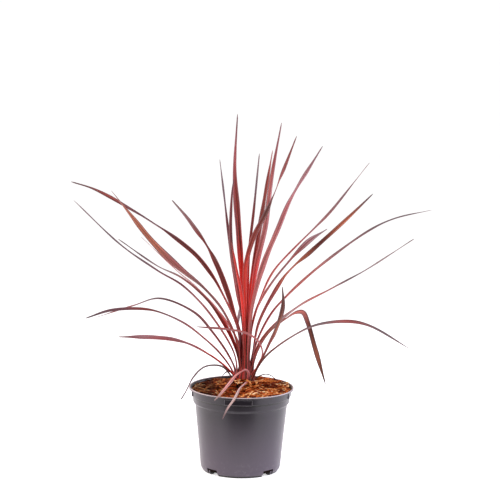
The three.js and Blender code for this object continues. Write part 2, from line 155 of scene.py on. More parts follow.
for name, place, size, watts, colour in SOFTBOXES:
    lamp = bpy.data.lights.new(name, "AREA")
    lamp.shape = "RECTANGLE"
    lamp.size, lamp.size_y = size
    lamp.energy = watts
    lamp.color = linear(colour)[:3]
    softbox = bpy.data.objects.new(name, lamp)
    turn = (SOFTBOX_AIM - Vector(place)).to_track_quat("-Z", "Y")
    softbox.matrix_world = Matrix.Translation(place) @ turn.to_matrix().to_4x4()
    softbox.visible_camera = False
    bpy.context.scene.collection.objects.link(softbox)

# Light table: matt white acrylic, lit evenly from below, with hardly any grain.
acrylic = grained_finish(
    "matt_white_acrylic",
    {"Scale": 900.0},
    ((0.0, "#f6f6f6"), (1.0, "#fbfbfb")),
    {
        "Roughness": 0.9,
        "Specular IOR Level": 0.1,
        "Emission Color": linear(SURROUND),
        "Emission Strength": TABLE_GLOW,
    },
)
acrylic.cycles.emission_sampling = "NONE"  # so that the flag can shade the table's reflections too
corners = ((-1, -1), (1, -1), (1, 1), (-1, 1))
flat_sheet("studio_floor", [(x * FLOOR_HALF, y * FLOOR_HALF, 0.0) for x, y in corners], acrylic)

# Black flag: matt felt on a frame.
shades = ((0.0, "#101010"), (1.0, "#1c1c1c"))
felt = grained_finish("black_felt", {"Scale": 300.0}, shades, {"Roughness": 1.0})
corners = ((-FLAG_HALF, 0.0), (FLAG_HALF, 0.0), (FLAG_HALF, FLAG_HEIGHT), (-FLAG_HALF, FLAG_HEIGHT))
flag = flat_sheet("black_flag", [(x, FLAG_PLACE, z) for x, z in corners], felt)
flag.visible_camera = False
flag.visible_diffuse = False
flag.visible_shadow = False

# Nursery pot
# One injection moulding in dark recycled polypropylene, 170 mm across: a rolled rim over a deeper lip, a
# band below it, a tapered wall, and a foot ring with four drain slots, each split by a rib.

MM = 0.001  # metres
RIM_RADIUS = 85.0
POT_HEIGHT = 136.5
POT_WALL = 1.2
LIP_RADIUS, LIP_BOTTOM = 80.8, 123.0
BAND_RADIUS, BAND_BOTTOM = 78.4, 112.0
SHOULDER_RADIUS = 74.6
FOOT_RADIUS = 64.6
FOOT_RING_OUTER, FOOT_RING_INNER = 61.0, 53.0
FOOT_LIFT = 3.0
PAD_RADIUS = 24.0
POT_SIDES = 192
CORNER_STEPS = 4

DRAIN_AZIMUTHS = (45.0, 135.0, 225.0, 315.0)
DRAIN_WIDTH, DRAIN_TOP = 22.0, 10.0
DRAIN_RIB = 3.0
DRAIN_RIB_OFFSET = 6.5  # from the slot's middle, toward the pot's left or right side
DRAIN_RIB_INSET = 1.4  # how far the rib stands back from the wall's face
CUT_OUTSIDE, CUT_INSIDE, CUT_BELOW = 6.0, 3.0, 4.0  # how far the slots' cutters reach past the plastic

# Plain frame for a slip-in label, on the lip's front, and the ribs that keep stacked pots apart.
LABEL_FROM, LABEL_TO = 251.0, 283.0
LABEL_BOTTOM, LABEL_TOP = 122.4, 132.6
LABEL_BORDER = 1.1
LABEL_RECESS = 0.7  # share of the border's height by which the pocket lies lower
LABEL_EDGE, LABEL_STEP = 0.45, 0.5  # over which the border rises outside and falls inside
LABEL_COLUMNS, LABEL_ROWS = 96, 28
STACKING_RIBS = (51.0, 123.0, 195.0, 339.0)
STACKING_RIB_WIDTH, STACKING_RIB_CHAMFER = 1.8, 0.5
UNDER_RIM = POT_HEIGHT - 3.2
PROUD_RADIUS = 82.1  # of the label's border and the ribs
TRIM_LOW, TRIM_SUNK = 0.2, 1.0  # how far the trim's lowest face and its back lie in the lip


def inner_radius(height):
    """The radius of the pot's inner wall at a height, both in millimetres."""
    if height > LIP_BOTTOM:
        return LIP_RADIUS - POT_WALL
    if height > BAND_BOTTOM:
        return BAND_RADIUS - POT_WALL
    share = (height - FOOT_LIFT) / (BAND_BOTTOM - FOOT_LIFT)
    return FOOT_RADIUS + (SHOULDER_RADIUS - FOOT_RADIUS) * share - POT_WALL


POT_FLOOR = FOOT_LIFT + POT_WALL
# The wall's outline up the outside and down the inside: radius, height and how far each corner is rounded.
POT_CORNERS = (
    (0, 0, 0),
    (PAD_RADIUS, 0, 0.6),
    (PAD_RADIUS + 1.5, FOOT_LIFT, 0.6),
    (FOOT_RING_INNER, FOOT_LIFT, 0.4),
    (FOOT_RING_INNER + 0.6, 0, 0.5),
    (FOOT_RING_OUTER, 0, 0.5),
    (FOOT_RING_OUTER + 0.4, 1.8, 0.5),
    (FOOT_RADIUS - 1.1, 3.8, 1.2),
    (FOOT_RADIUS, 7, 2.4),
    (SHOULDER_RADIUS, BAND_BOTTOM - 2.5, 1.6),
    (BAND_RADIUS - 0.6, BAND_BOTTOM, 1.4),
    (BAND_RADIUS + 0.4, LIP_BOTTOM - 0.6, 0.8),
    (LIP_RADIUS - 0.4, LIP_BOTTOM, 0.9),
    (LIP_RADIUS + 0.5, POT_HEIGHT - 3.6, 0.6),
    (RIM_RADIUS - 0.4, POT_HEIGHT - 3, 0.4),
    (RIM_RADIUS, POT_HEIGHT - 1.6, 0.7),
    (RIM_RADIUS - 0.9, POT_HEIGHT, 0.8),
    (RIM_RADIUS - 2.4, POT_HEIGHT - 0.4, 0.8),
    (inner_radius(POT_HEIGHT), POT_HEIGHT - 3, 1.2),
    (inner_radius(POT_HEIGHT), LIP_BOTTOM + POT_WALL, 0.4),
    (inner_radius(LIP_BOTTOM), LIP_BOTTOM + POT_WALL, 0.4),
    (inner_radius(LIP_BOTTOM), BAND_BOTTOM, 0.6),
    (inner_radius(BAND_BOTTOM), BAND_BOTTOM - 2.5, 0.8),
    (inner_radius(POT_FLOOR + 3), POT_FLOOR + 3, 1.0),
    (inner_radius(POT_FLOOR) - 2, POT_FLOOR, 1.0),
    (0, POT_FLOOR, 0),
)


def rounded(corners, steps):
    """An open outline with each of its corners rounded."""
    points = [Vector(corners[0][:2])]
    for before, corner, after in zip(corners, corners[1:], corners[2:]):
        here = Vector(corner[:2])
        back, ahead = Vector(before[:2]) - here, Vector(after[:2]) - here
        reach = min(corner[2], 0.48 * back.length, 0.48 * ahead.length)
        if reach < 0.05:
            points.append(here)
            continue
        start, end = here + back.normalized() * reach, here + ahead.normalized() * reach
        for i in range(steps + 1):
            t = i / steps
            points.append(start * (1 - t) ** 2 + here * 2 * t * (1 - t) + end * t**2)
    return points + [Vector(corners[-1][:2])]


def mesh_of(name, shell):
    """A plain mesh of what was built in a bmesh."""
    mesh = bpy.data.meshes.new(name)
    shell.to_mesh(mesh)
    shell.free()
    return mesh


def revolved(name, outline, sides):
    """A closed mesh turned about the Z axis from an outline that starts and ends on it, lowest first."""
    shell = bmesh.new()
    rings = []
    for radius, height in outline:
        count = 1 if radius < 1e-6 else sides
        angles = [2 * math.pi * i / sides for i in range(count)]
        around = [(radius * math.cos(angle), radius * math.sin(angle)) for angle in angles]
        rings.append([shell.verts.new((x * MM, y * MM, height * MM)) for x, y in around])
    for lower, upper in zip(rings, rings[1:]):
        for i in range(sides):
            j = (i + 1) % sides
            corners = [lower[i % len(lower)], lower[j % len(lower)]]
            corners += [upper[j % len(upper)], upper[i % len(upper)]]
            shell.faces.new(list(dict.fromkeys(corners)))
    bmesh.ops.recalc_face_normals(shell, faces=shell.faces)
    return mesh_of(name, shell)


def prism(shell, outline, bottom, top):
    """A closed upright prism over an outline of x and y that runs anticlockwise, all in millimetres."""
    lower, upper = ([shell.verts.new((x * MM, y * MM, z * MM)) for x, y in outline] for z in (bottom, top))
    shell.faces.new(lower[::-1])
    shell.faces.new(upper)
    for i in range(len(outline)):
        j = (i + 1) % len(outline)
        shell.faces.new((lower[i], lower[j], upper[j], upper[i]))


def turned(outline, azimuth):
    """Points given as distance out and distance across, turned to an azimuth in degrees, as x and y."""
    c, s = math.cos(math.radians(azimuth)), math.sin(math.radians(azimuth))
    return [(c * out - s * across, s * out + c * across) for out, across in outline]


def new_piece(name, mesh, finish):
    """A piece at the origin, with its place in its mesh."""
    mesh.materials.clear()
    mesh.materials.append(finish)
    piece = bpy.data.objects.new(name, mesh)
    bpy.context.scene.collection.objects.link(piece)
    return piece


def apply_modifiers(piece):
    """Turns what a piece's modifiers make into its own plain mesh."""
    graph = bpy.context.evaluated_depsgraph_get()
    shaped = piece.evaluated_get(graph)
    made = bpy.data.meshes.new_from_object(shaped, preserve_all_data_layers=True, depsgraph=graph)
    piece.modifiers.clear()
    piece.data = made


def smoothstep(value, low, high):
    """0 below low, 1 above high, and a smooth rise between them."""
    share = np.clip((value - low) / (high - low), 0.0, 1.0)
    return share * share * (3 - 2 * share)


def drain_cutter(name):
    """The cutters of all drain slots: a recess in the wall, and two passages with the rib between them."""
    cutter = bmesh.new()
    half = DRAIN_WIDTH / 2
    outside, inside = FOOT_RADIUS + CUT_OUTSIDE, FOOT_RING_INNER - CUT_INSIDE
    rib_face = FOOT_RADIUS - DRAIN_RIB_INSET
    rib_near, rib_far = DRAIN_RIB_OFFSET - DRAIN_RIB / 2, DRAIN_RIB_OFFSET + DRAIN_RIB / 2
    outline = [
        (inside, -half), (outside, -half), (outside, half), (inside, half),
        (inside, rib_far), (rib_face, rib_far), (rib_face, rib_near), (inside, rib_near),
    ]
    for number, azimuth in enumerate(DRAIN_AZIMUTHS):
        side = 1 if number % 2 else -1
        placed = turned([(out, side * across) for out, across in outline], azimuth)
        prism(cutter, placed[::side], -CUT_BELOW, DRAIN_TOP)
    return mesh_of(name, cutter)


def label_frame(name):
    """A curved plate on the lip with a raised rounded border, its back sunk in the lip."""
    columns, rows = LABEL_COLUMNS, LABEL_ROWS
    angles = np.radians(np.linspace(LABEL_FROM, LABEL_TO, columns))
    heights = np.linspace(LABEL_BOTTOM, LABEL_TOP, rows)
    arc = (angles - angles[0]) * PROUD_RADIUS
    to_side = np.minimum(arc, arc[-1] - arc)[:, None]
    to_end = np.minimum(heights - heights[0], heights[-1] - heights)[None, :]
    inward = np.minimum(to_side, to_end)
    recess = LABEL_RECESS * smoothstep(inward, LABEL_BORDER, LABEL_BORDER + LABEL_STEP)
    raised = smoothstep(inward, 0.0, LABEL_EDGE) * (1 - recess)
    outer = LIP_RADIUS - TRIM_LOW + (PROUD_RADIUS - LIP_RADIUS + TRIM_LOW) * raised
    inner = np.full_like(outer, LIP_RADIUS - TRIM_SUNK)
    points = []
    for radius in (outer, inner):
        x, y = radius * np.cos(angles)[:, None], radius * np.sin(angles)[:, None]
        points.append(np.stack([x, y, np.broadcast_to(heights, radius.shape)], axis=2).reshape(-1, 3))
    faces = []
    back = columns * rows
    for i in range(columns - 1):
        for j in range(rows - 1):
            a, b, c, d = i * rows + j, (i + 1) * rows + j, (i + 1) * rows + j + 1, i * rows + j + 1
            faces += [(a, b, c, d), (back + d, back + c, back + b, back + a)]
    border = [i * rows for i in range(columns)] + [(columns - 1) * rows + j for j in range(1, rows)]
    border += [i * rows + rows - 1 for i in range(columns - 2, -1, -1)] + list(range(rows - 2, 0, -1))
    faces += [(a, back + a, back + b, b) for a, b in zip(border, border[1:] + border[:1])]
    mesh = bpy.data.meshes.new(name)
    mesh.from_pydata((np.concatenate(points) * MM).tolist(), [], faces)
    return mesh


def stacking_ribs(name):
    """Short upright ribs on the lip under the rim, their outer edges cut off."""
    shell = bmesh.new()
    half, back, front = STACKING_RIB_WIDTH / 2, LIP_RADIUS - TRIM_SUNK, PROUD_RADIUS
    cut = STACKING_RIB_CHAMFER
    outline = [
        (back, -half), (front - cut, -half), (front, cut - half),
        (front, half - cut), (front - cut, half), (back, half),
    ]
    for azimuth in STACKING_RIBS:
        prism(shell, turned(outline, azimuth), LIP_BOTTOM + 0.4, UNDER_RIM)
    return mesh_of(name, shell)


# Moulded polypropylene with recycled black in it: a dull satin that is never one flat grey, with faint
# upright flow marks, a fine spark-eroded grain, and pale scuffs toward the foot. Light and shade are
# painted in too: the wall is painted lighter toward the foot, as lit by the floor, a painted highlight runs
# along the rim's top, and painted shade turns the drain slots and the inner wall above the bark near black.
pot_finish, tree, shader, place = new_finish("moulded_polypropylene")
mottle = {"Vector": place, "Scale": 22.0, "Detail": 4.0, "Roughness": 0.6}
cloud = add_node(tree, "ShaderNodeTexNoise", mottle)
colour = add_node(tree, "ShaderNodeValToRGB", {"Fac": cloud}, stops=((0.3, "#1b151c"), (0.7, "#241c26")))
upright = add_node(tree, "ShaderNodeMapping", {"Vector": place, "Scale": (420.0, 420.0, 9.0)})
flow = add_node(tree, "ShaderNodeTexNoise", {"Vector": upright, "Scale": 1.0, "Detail": 3.0})
speck = add_node(tree, "ShaderNodeTexNoise", {"Vector": place, "Scale": 1600.0, "Detail": 2.0})
scratch = {"Vector": place, "Scale": 150.0, "Detail": 6.0, "Roughness": 0.7}
scratch = add_node(tree, "ShaderNodeTexNoise", scratch)
height = add_node(tree, "ShaderNodeSeparateXYZ", {"Vector": place}).outputs["Z"]
flat = add_node(tree, "ShaderNodeVectorMath", {0: place, 1: (1.0, 1.0, 0.0)}, operation="MULTIPLY")
out = add_node(tree, "ShaderNodeVectorMath", {0: flat}, operation="LENGTH")
# What each mask follows, the values at which it starts and is full, and its strength. Heights above the
# foot and distances out from the axis are in metres. The inner wall steps out under the rim, by the last.
masks = {
    # Painted light: the wall is painted lighter toward the foot, as lit by the bright floor.
    "painted_floor_light": (height, 0.100, 0.006, 1.0),
    "low": (height, 0.03, 0.0, 0.34),
    "scratched": (scratch, 0.52, 0.72, 1.0),
    # Painted highlight: a pale line along the rim's top edge.
    "painted_rim_highlight": (height, (POT_HEIGHT - 1.7) * MM, (POT_HEIGHT - 0.7) * MM, 0.72),
    "proud": (out, (PROUD_RADIUS - 0.5) * MM, (PROUD_RADIUS - 0.1) * MM, 0.3),
    # Painted shade: the drain slots' recesses behind the wall's face, below the slots' tops, are painted near
    # black.
    "in_slot_height": (height, 0.012, 0.010, 1.0),
    "behind_wall_face": (out, 0.0634, 0.0624, 0.97),
    "rim_overhang": (height, 0.1331, 0.1334, 0.0022),
}
for name, (follows, start, full, strength) in masks.items():
    span = {"Value": follows, "From Min": start, "From Max": full, "To Max": strength}
    masks[name] = add_node(tree, "ShaderNodeMapRange", span)
# Painted shade: the inner wall above the bark, shaded under the rim, is painted near black.
inward = add_node(tree, "ShaderNodeMath", {0: out, 1: masks["rim_overhang"]}, operation="SUBTRACT")
inside = {"Value": inward, "From Min": 0.0804, "From Max": 0.0798, "To Max": 0.88}
masks["inside"] = add_node(tree, "ShaderNodeMapRange", inside)
masks["above_bark"] = add_node(tree, "ShaderNodeMath", {0: height, 1: 0.12}, operation="GREATER_THAN")
masks["below_rim"] = add_node(tree, "ShaderNodeMath", {0: height, 1: UNDER_RIM * MM}, operation="LESS_THAN")
for name, first, second, operation in (
    ("scuffs", "low", "scratched", "MULTIPLY"),
    ("edges", "proud", "below_rim", "MULTIPLY"),
    ("slot_painted_shade", "in_slot_height", "behind_wall_face", "MULTIPLY"),
    ("inner_wall_painted_shade", "above_bark", "inside", "MULTIPLY"),
    ("painted_recess_shade", "slot_painted_shade", "inner_wall_painted_shade", "MAXIMUM"),
):
    masks[name] = add_node(tree, "ShaderNodeMath", {0: masks[first], 1: masks[second]}, operation=operation)
MIX_A, MIX_B = 6, 7  # the colour inputs of a Mix node
# Painted floor light toward the foot, scuffs, a painted highlight on the rim's top, paler proud edges of the
# label and ribs, and painted shade in the drain slots and on the inner wall, in that order.
for name, tint in (
    ("painted_floor_light", "#4b414d"),
    ("scuffs", "#8a8188"),
    ("painted_rim_highlight", "#cbbcbd"),
    ("edges", "#8d868b"),
    ("painted_recess_shade", "#0d0807"),
):
    layer = {0: masks[name], MIX_A: colour, MIX_B: linear(tint)}
    colour = add_node(tree, "ShaderNodeMix", layer, data_type="RGBA")
gloss = add_node(tree, "ShaderNodeMapRange", {"Value": flow, "To Min": 0.28, "To Max": 0.40})
grain = add_node(tree, "ShaderNodeBump", {"Height": speck, "Strength": 0.25, "Distance": 0.00006})
marks = {"Height": flow, "Strength": 0.35, "Distance": 0.00005, "Normal": grain}
marks = add_node(tree, "ShaderNodeBump", marks)
set_inputs(shader, {"Base Color": colour, "Roughness": gloss, "Normal": marks, "IOR": 1.49})

wall = revolved("nursery_pot", rounded(POT_CORNERS, CORNER_STEPS), POT_SIDES)
pot = new_piece("nursery_pot", wall, pot_finish)
cutter = bpy.data.objects.new("drain_cutter", drain_cutter("drain_cutter"))
bpy.context.scene.collection.objects.link(cutter)
slots = pot.modifiers.new("drain_slots", "BOOLEAN")
slots.operation = "DIFFERENCE"
slots.solver = "EXACT"
slots.object = cutter
apply_modifiers(pot)
bpy.data.objects.remove(cutter)
pot.data.shade_smooth()
pot.data.set_sharp_from_angle(angle=math.radians(35))
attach(pot, "root")
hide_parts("pot")

label = new_piece("plain_label_frame", label_frame("plain_label_frame"), pot_finish)
label.data.shade_smooth()
label.data.set_sharp_from_angle(angle=math.radians(50))
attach(label, "root")
ribs = new_piece("stacking_ribs", stacking_ribs("stacking_ribs"), pot_finish)
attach(ribs, "root")

# Compost
# The root ball's peat-free compost, pressed in by hand to just under the bark. The solid of the frame is
# kept, since nothing of it shows but a dark edge between the chips and through the drain slots.

# Damp compost: near black, crumbly and without any shine.
compost_finish = grained_finish(
    "damp_compost",
    {"Scale": 380.0, "Detail": 6.0, "Roughness": 0.7},
    ((0.35, "#0c0705"), (0.7, "#20140d")),
    {"Roughness": 0.95, "Specular IOR Level": 0.05},
    {"Strength": 0.8, "Distance": 0.0012},
)
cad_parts["compost"].data.materials.clear()
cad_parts["compost"].data.materials.append(compost_finish)

# Bark mulch
# A loose bed of shredded pine bark and coir that a gardener spreads by hand round the stem: chunky chips
# and crumbs on a dark bed, with long curled strands over them. It lies a little below the rim.

COMPOST_TOP = 120.0
SOIL_LEVEL = 134.0
BARK_EDGE_LEVEL = 131.8
BARK_MOUND, BARK_MOUND_PLACE, BARK_MOUND_REACH = 3.5, (32.0, 46.0), 30.0
BARK_HEAP, BARK_HEAP_REACH = 5.5, 26.0
FRONT_HEAP, FRONT_HEAP_REACH = 13.0, 7.0  # of fibre drifted against the front of the leaf bases
LEAF_BASES_RADIUS = 16.0
STEM_X = 4.0  # the stem's axis at the bark
GAP = 0.3
BED_SIDES, BED_RINGS = 120, 48
BED_CRUMB = 1.5  # how far the bed's surface rises and falls, in millimetres
BED_DROP = 0.8  # of the bark's level below the solid's own
UNDER_CHIPS = 1.6  # of the bed below the bark's level
CHIP_SIZE = (0.0150, 0.0056, 0.0030)
CRUMB_RADIUS = 0.0011
CHIPS_CLEAR, CRUMBS_CLEAR, STRANDS_CLEAR = 0.0150, 0.0145, 0.0155  # of the stem's axis
SUPPORTING_SLOPE = 0.2  # upward part of the normal of the steepest bed that bark still lies on
FULL_TURN = 2 * math.pi


def bark_level(x, y):
    """The height of the bark's surface, in millimetres."""
    share = min(1.0, math.hypot(x, y) / inner_radius(POT_HEIGHT))
    dome = SOIL_LEVEL + (BARK_EDGE_LEVEL - SOIL_LEVEL) * share**3
    mound = BARK_MOUND * math.exp(-((math.dist((x, y), BARK_MOUND_PLACE) / BARK_MOUND_REACH) ** 2))
    from_stem = math.hypot(x - STEM_X, y)
    heap = BARK_HEAP * math.exp(-((from_stem / BARK_HEAP_REACH) ** 4))
    front = 0.5 - 0.5 * y / max(from_stem, 1.0)
    beyond = max(from_stem - LEAF_BASES_RADIUS, 0.0)
    drift = FRONT_HEAP * front * math.exp(-((beyond / FRONT_HEAP_REACH) ** 2))
    return dome + mound + heap + drift - BED_DROP


def bark_bed():
    """The bed under the chips: a lumpy top inside the rim, closed down to the compost."""
    neck = inner_radius(LIP_BOTTOM) - 0.7
    edge = inner_radius(POT_HEIGHT) - 0.7
    ledge = LIP_BOTTOM + POT_WALL + GAP
    top = [(edge * (1 - i / BED_RINGS), SOIL_LEVEL) for i in range(BED_RINGS + 1)]
    outline = [(0, COMPOST_TOP + GAP), (neck, COMPOST_TOP + GAP), (neck, ledge), (edge, ledge)] + top
    mesh = revolved("bark_bed", outline, BED_SIDES)
    for vertex in mesh.vertices:
        x, y, z = (c / MM for c in vertex.co)
        if z > SOIL_LEVEL - 0.5:
            lump = math.sin(x * 0.9 + 2 * math.sin(y * 0.5)) * math.sin(y * 1.1 + 2 * math.sin(x * 0.4))
            vertex.co.z = (bark_level(x, y) - UNDER_CHIPS + 0.5 * BED_CRUMB * lump) * MM
    return mesh


def new_tree(name, sizes):
    """A node tree with its sizes, a seed and a finish as named inputs: the tree, its inputs and its end."""
    tree = bpy.data.node_groups.new(name, "GeometryNodeTree")
    tree.interface.new_socket("Geometry", in_out="INPUT", socket_type="NodeSocketGeometry")
    tree.interface.new_socket("Geometry", in_out="OUTPUT", socket_type="NodeSocketGeometry")
    for size in sizes:
        tree.interface.new_socket(size, in_out="INPUT", socket_type="NodeSocketFloat")
    tree.interface.new_socket("Seed", in_out="INPUT", socket_type="NodeSocketInt")
    tree.interface.new_socket("Finish", in_out="INPUT", socket_type="NodeSocketMaterial")
    return tree, add_node(tree, "NodeGroupInput").outputs, add_node(tree, "NodeGroupOutput")


def close_tree(tree, geometry, given, end):
    """Ends a tree by making its copies real and putting its finish on them."""
    real = add_node(tree, "GeometryNodeRealizeInstances", {"Geometry": geometry})
    dressed = add_node(tree, "GeometryNodeSetMaterial", {"Geometry": real, "Material": given["Finish"]})
    set_inputs(end, {"Geometry": dressed})


def run_tree(piece, tree, values):
    """Puts the tree on a piece with its inputs set, and turns the result into the piece's plain mesh."""
    modifier = piece.modifiers.new(tree.name, "NODES")
    modifier.node_group = tree
    for item in tree.interface.items_tree:
        if item.in_out == "INPUT" and item.name in values:
            modifier[item.identifier] = values[item.name]
    apply_modifiers(piece)


def kept_points(tree, given, density, keep_out):
    """Random points on the ground's top, no nearer to the stem's axis than keep_out metres."""
    spot = add_node(tree, "GeometryNodeInputPosition")
    slope = add_node(tree, "ShaderNodeSeparateXYZ", {"Vector": add_node(tree, "GeometryNodeInputNormal")})
    steep = {0: slope.outputs["Z"], 1: SUPPORTING_SLOPE}
    upward = add_node(tree, "ShaderNodeMath", steep, operation="GREATER_THAN")
    flat = add_node(tree, "ShaderNodeVectorMath", {0: spot, 1: (1.0, 1.0, 0.0)}, operation="MULTIPLY")
    away = add_node(tree, "ShaderNodeVectorMath", {0: flat, 1: (STEM_X * MM, 0.0, 0.0)}, operation="DISTANCE")
    clear = add_node(tree, "ShaderNodeMath", {0: away, 1: keep_out}, operation="GREATER_THAN")
    both = add_node(tree, "ShaderNodeMath", {0: upward, 1: clear}, operation="MULTIPLY")
    chosen = {"Mesh": given["Geometry"], "Selection": both, "Density": given[density], "Seed": given["Seed"]}
    return add_node(tree, "GeometryNodeDistributePointsOnFaces", chosen)


def random_value(tree, given, offset, low, high, kind="FLOAT_VECTOR"):
    """A random vector or number for each point or instance, repeatable from the tree's seed."""
    own_seed = add_node(tree, "ShaderNodeMath", {0: given["Seed"], 1: float(offset)}, operation="ADD")
    first = {"FLOAT_VECTOR": 0, "FLOAT": 2}[kind]
    span = {first: low, first + 1: high, "Seed": own_seed}
    return add_node(tree, "FunctionNodeRandomValue", span, data_type=kind)


def shaken(tree, geometry, scale, distance):
    """Moves points by a smooth noise of the given scale, in cycles a metre, by up to about that distance."""
    spot = add_node(tree, "GeometryNodeInputPosition")
    noise = add_node(tree, "ShaderNodeTexNoise", {"Vector": spot, "Scale": scale, "Detail": 1.0})
    centred = {0: noise.outputs["Color"], 1: (0.5, 0.5, 0.5)}
    shift = add_node(tree, "ShaderNodeVectorMath", centred, operation="SUBTRACT")
    sized = add_node(tree, "ShaderNodeVectorMath", {0: shift, 1: distance}, operation="MULTIPLY")
    return add_node(tree, "GeometryNodeSetPosition", {"Geometry": geometry, "Offset": sized})


def inside_rim(tree, given, geometry):
    """Draws in points that lie further out than the rim's limit or above the ceiling."""
    spot = add_node(tree, "GeometryNodeInputPosition")
    up = add_node(tree, "ShaderNodeSeparateXYZ", {"Vector": spot}).outputs["Z"]
    flat = add_node(tree, "ShaderNodeVectorMath", {0: spot, 1: (1.0, 1.0, 0.0)}, operation="MULTIPLY")
    out = add_node(tree, "ShaderNodeVectorMath", {0: flat}, operation="LENGTH")
    excess = add_node(tree, "ShaderNodeMath", {0: given["Rim limit"], 1: out}, operation="DIVIDE")
    share = add_node(tree, "ShaderNodeMath", {0: excess, 1: 1.0}, operation="MINIMUM")
    height = add_node(tree, "ShaderNodeMath", {0: up, 1: given["Ceiling"]}, operation="MINIMUM")
    drawn = add_node(tree, "ShaderNodeVectorMath", {0: flat, "Scale": share}, operation="SCALE")
    level = add_node(tree, "ShaderNodeCombineXYZ", {"Z": height})
    moved = add_node(tree, "ShaderNodeVectorMath", {0: drawn, 1: level})
    return add_node(tree, "GeometryNodeSetPosition", {"Geometry": geometry, "Position": moved})


def scattered(tree, given, offset, points, shape, turns, scales):
    """Copies of a shape on points, each turned, sized and shaded at random between limits, as one body."""
    copied = {
        "Points": points,
        "Instance": shape,
        "Rotation": random_value(tree, given, offset, *turns),
        "Scale": random_value(tree, given, offset + 1, *scales),
    }
    copies = add_node(tree, "GeometryNodeInstanceOnPoints", copied)
    own_shade = random_value(tree, given, offset + 2, 0.0, 1.0, "FLOAT")
    stored = {"Geometry": copies, "Name": "shade", "Value": own_shade}
    shaded = add_node(tree, "GeometryNodeStoreNamedAttribute", stored, data_type="FLOAT", domain="INSTANCE")
    return add_node(tree, "GeometryNodeRealizeInstances", {"Geometry": shaded})


chips_tree, given, end = new_tree("bark_chips", ("Chip density", "Crumb density", "Rim limit", "Ceiling"))
tree = chips_tree
plate = {"Size": CHIP_SIZE, "Vertices X": 5, "Vertices Y": 3, "Vertices Z": 2}
chips = scattered(
    tree, given, 10,
    kept_points(tree, given, "Chip density", CHIPS_CLEAR),
    add_node(tree, "GeometryNodeMeshCube", plate),
    ((-0.35, -0.3, 0.0), (0.35, 0.3, FULL_TURN)),
    ((0.35, 0.5, 0.5), (1.35, 1.3, 1.3)),
)
chips = shaken(tree, chips, 260.0, (0.0045, 0.0045, 0.0030))
crumbs = scattered(
    tree, given, 20,
    kept_points(tree, given, "Crumb density", CRUMBS_CLEAR),
    add_node(tree, "GeometryNodeMeshIcoSphere", {"Radius": CRUMB_RADIUS, "Subdivisions": 1}),
    ((0.0, 0.0, 0.0), (FULL_TURN, FULL_TURN, FULL_TURN)),
    ((0.5, 0.5, 0.4), (2.0, 1.2, 1.1)),
)
crumbs = shaken(tree, crumbs, 900.0, (0.0012, 0.0012, 0.0012))
loose = add_node(tree, "GeometryNodeJoinGeometry", {"Geometry": [crumbs, chips]})
held_in = inside_rim(tree, given, loose)
whole = add_node(tree, "GeometryNodeJoinGeometry", {"Geometry": [held_in, given["Geometry"]]})
close_tree(tree, whole, given, end)

sizes = ("Strand density", "Strand length", "Strand width", "Rim limit", "Ceiling")
strands_tree, given, end = new_tree("coir_strands", sizes)
tree = strands_tree
half = add_node(tree, "ShaderNodeMath", {0: given["Strand length"], 1: 0.5}, operation="MULTIPLY")
minus = add_node(tree, "ShaderNodeMath", {0: half, 1: -1.0}, operation="MULTIPLY")
ends = {"Start": minus, "End": half}
ends = {name: add_node(tree, "ShaderNodeCombineXYZ", {"X": x}) for name, x in ends.items()}
line = add_node(tree, "GeometryNodeCurvePrimitiveLine", ends)
spots = kept_points(tree, given, "Strand density", STRANDS_CLEAR)
rise = random_value(tree, given, 40, (0.0, 0.0, 0.0006), (0.0, 0.0, 0.0042))
strands = scattered(
    tree, given, 30,
    add_node(tree, "GeometryNodeSetPosition", {"Geometry": spots, "Offset": rise}),
    add_node(tree, "GeometryNodeResampleCurve", {"Curve": line, "Count": 9}),
    ((-0.12, -0.14, 0.0), (0.12, 0.14, FULL_TURN)),
    ((0.3, 1.0, 1.0), (1.5, 1.0, 1.0)),
)
strands = shaken(tree, strands, 55.0, (0.020, 0.020, 0.0075))
strands = shaken(tree, strands, 190.0, (0.0035, 0.0035, 0.0022))
strands = inside_rim(tree, given, strands)
# Each strand is thick in the middle and thin at both ends, and no two are equally thick.
along = add_node(tree, "GeometryNodeSplineParameter")
rest_of = add_node(tree, "ShaderNodeMath", {0: 1.0, 1: along}, operation="SUBTRACT")
hump = add_node(tree, "ShaderNodeMath", {0: along, 1: rest_of}, operation="MULTIPLY")
swell = add_node(tree, "ShaderNodeMath", {0: hump, 1: 0.35}, operation="POWER")
shade = add_node(tree, "GeometryNodeInputNamedAttribute", {"Name": "shade"}, data_type="FLOAT")
odd = add_node(tree, "ShaderNodeMath", {0: shade, 1: 7.31}, operation="MULTIPLY")
own = add_node(tree, "ShaderNodeMath", {0: odd}, operation="FRACT")
spread = add_node(tree, "ShaderNodeMapRange", {"Value": own, "To Min": 0.35, "To Max": 1.5})
stout = add_node(tree, "ShaderNodeMath", {0: swell, 1: spread}, operation="MULTIPLY")
radius = add_node(tree, "ShaderNodeMath", {0: stout, 1: given["Strand width"]}, operation="MULTIPLY")
section = add_node(tree, "GeometryNodeCurvePrimitiveCircle", {"Resolution": 5, "Radius": 1.0})
section = add_node(tree, "GeometryNodeTransform", {"Geometry": section, "Scale": (1.0, 0.5, 1.0)})
sweep = {"Curve": strands, "Profile Curve": section, "Scale": radius, "Fill Caps": True}
swept = add_node(tree, "GeometryNodeCurveToMesh", sweep)
close_tree(tree, add_node(tree, "GeometryNodeSetShadeSmooth", {"Geometry": swept}), given, end)


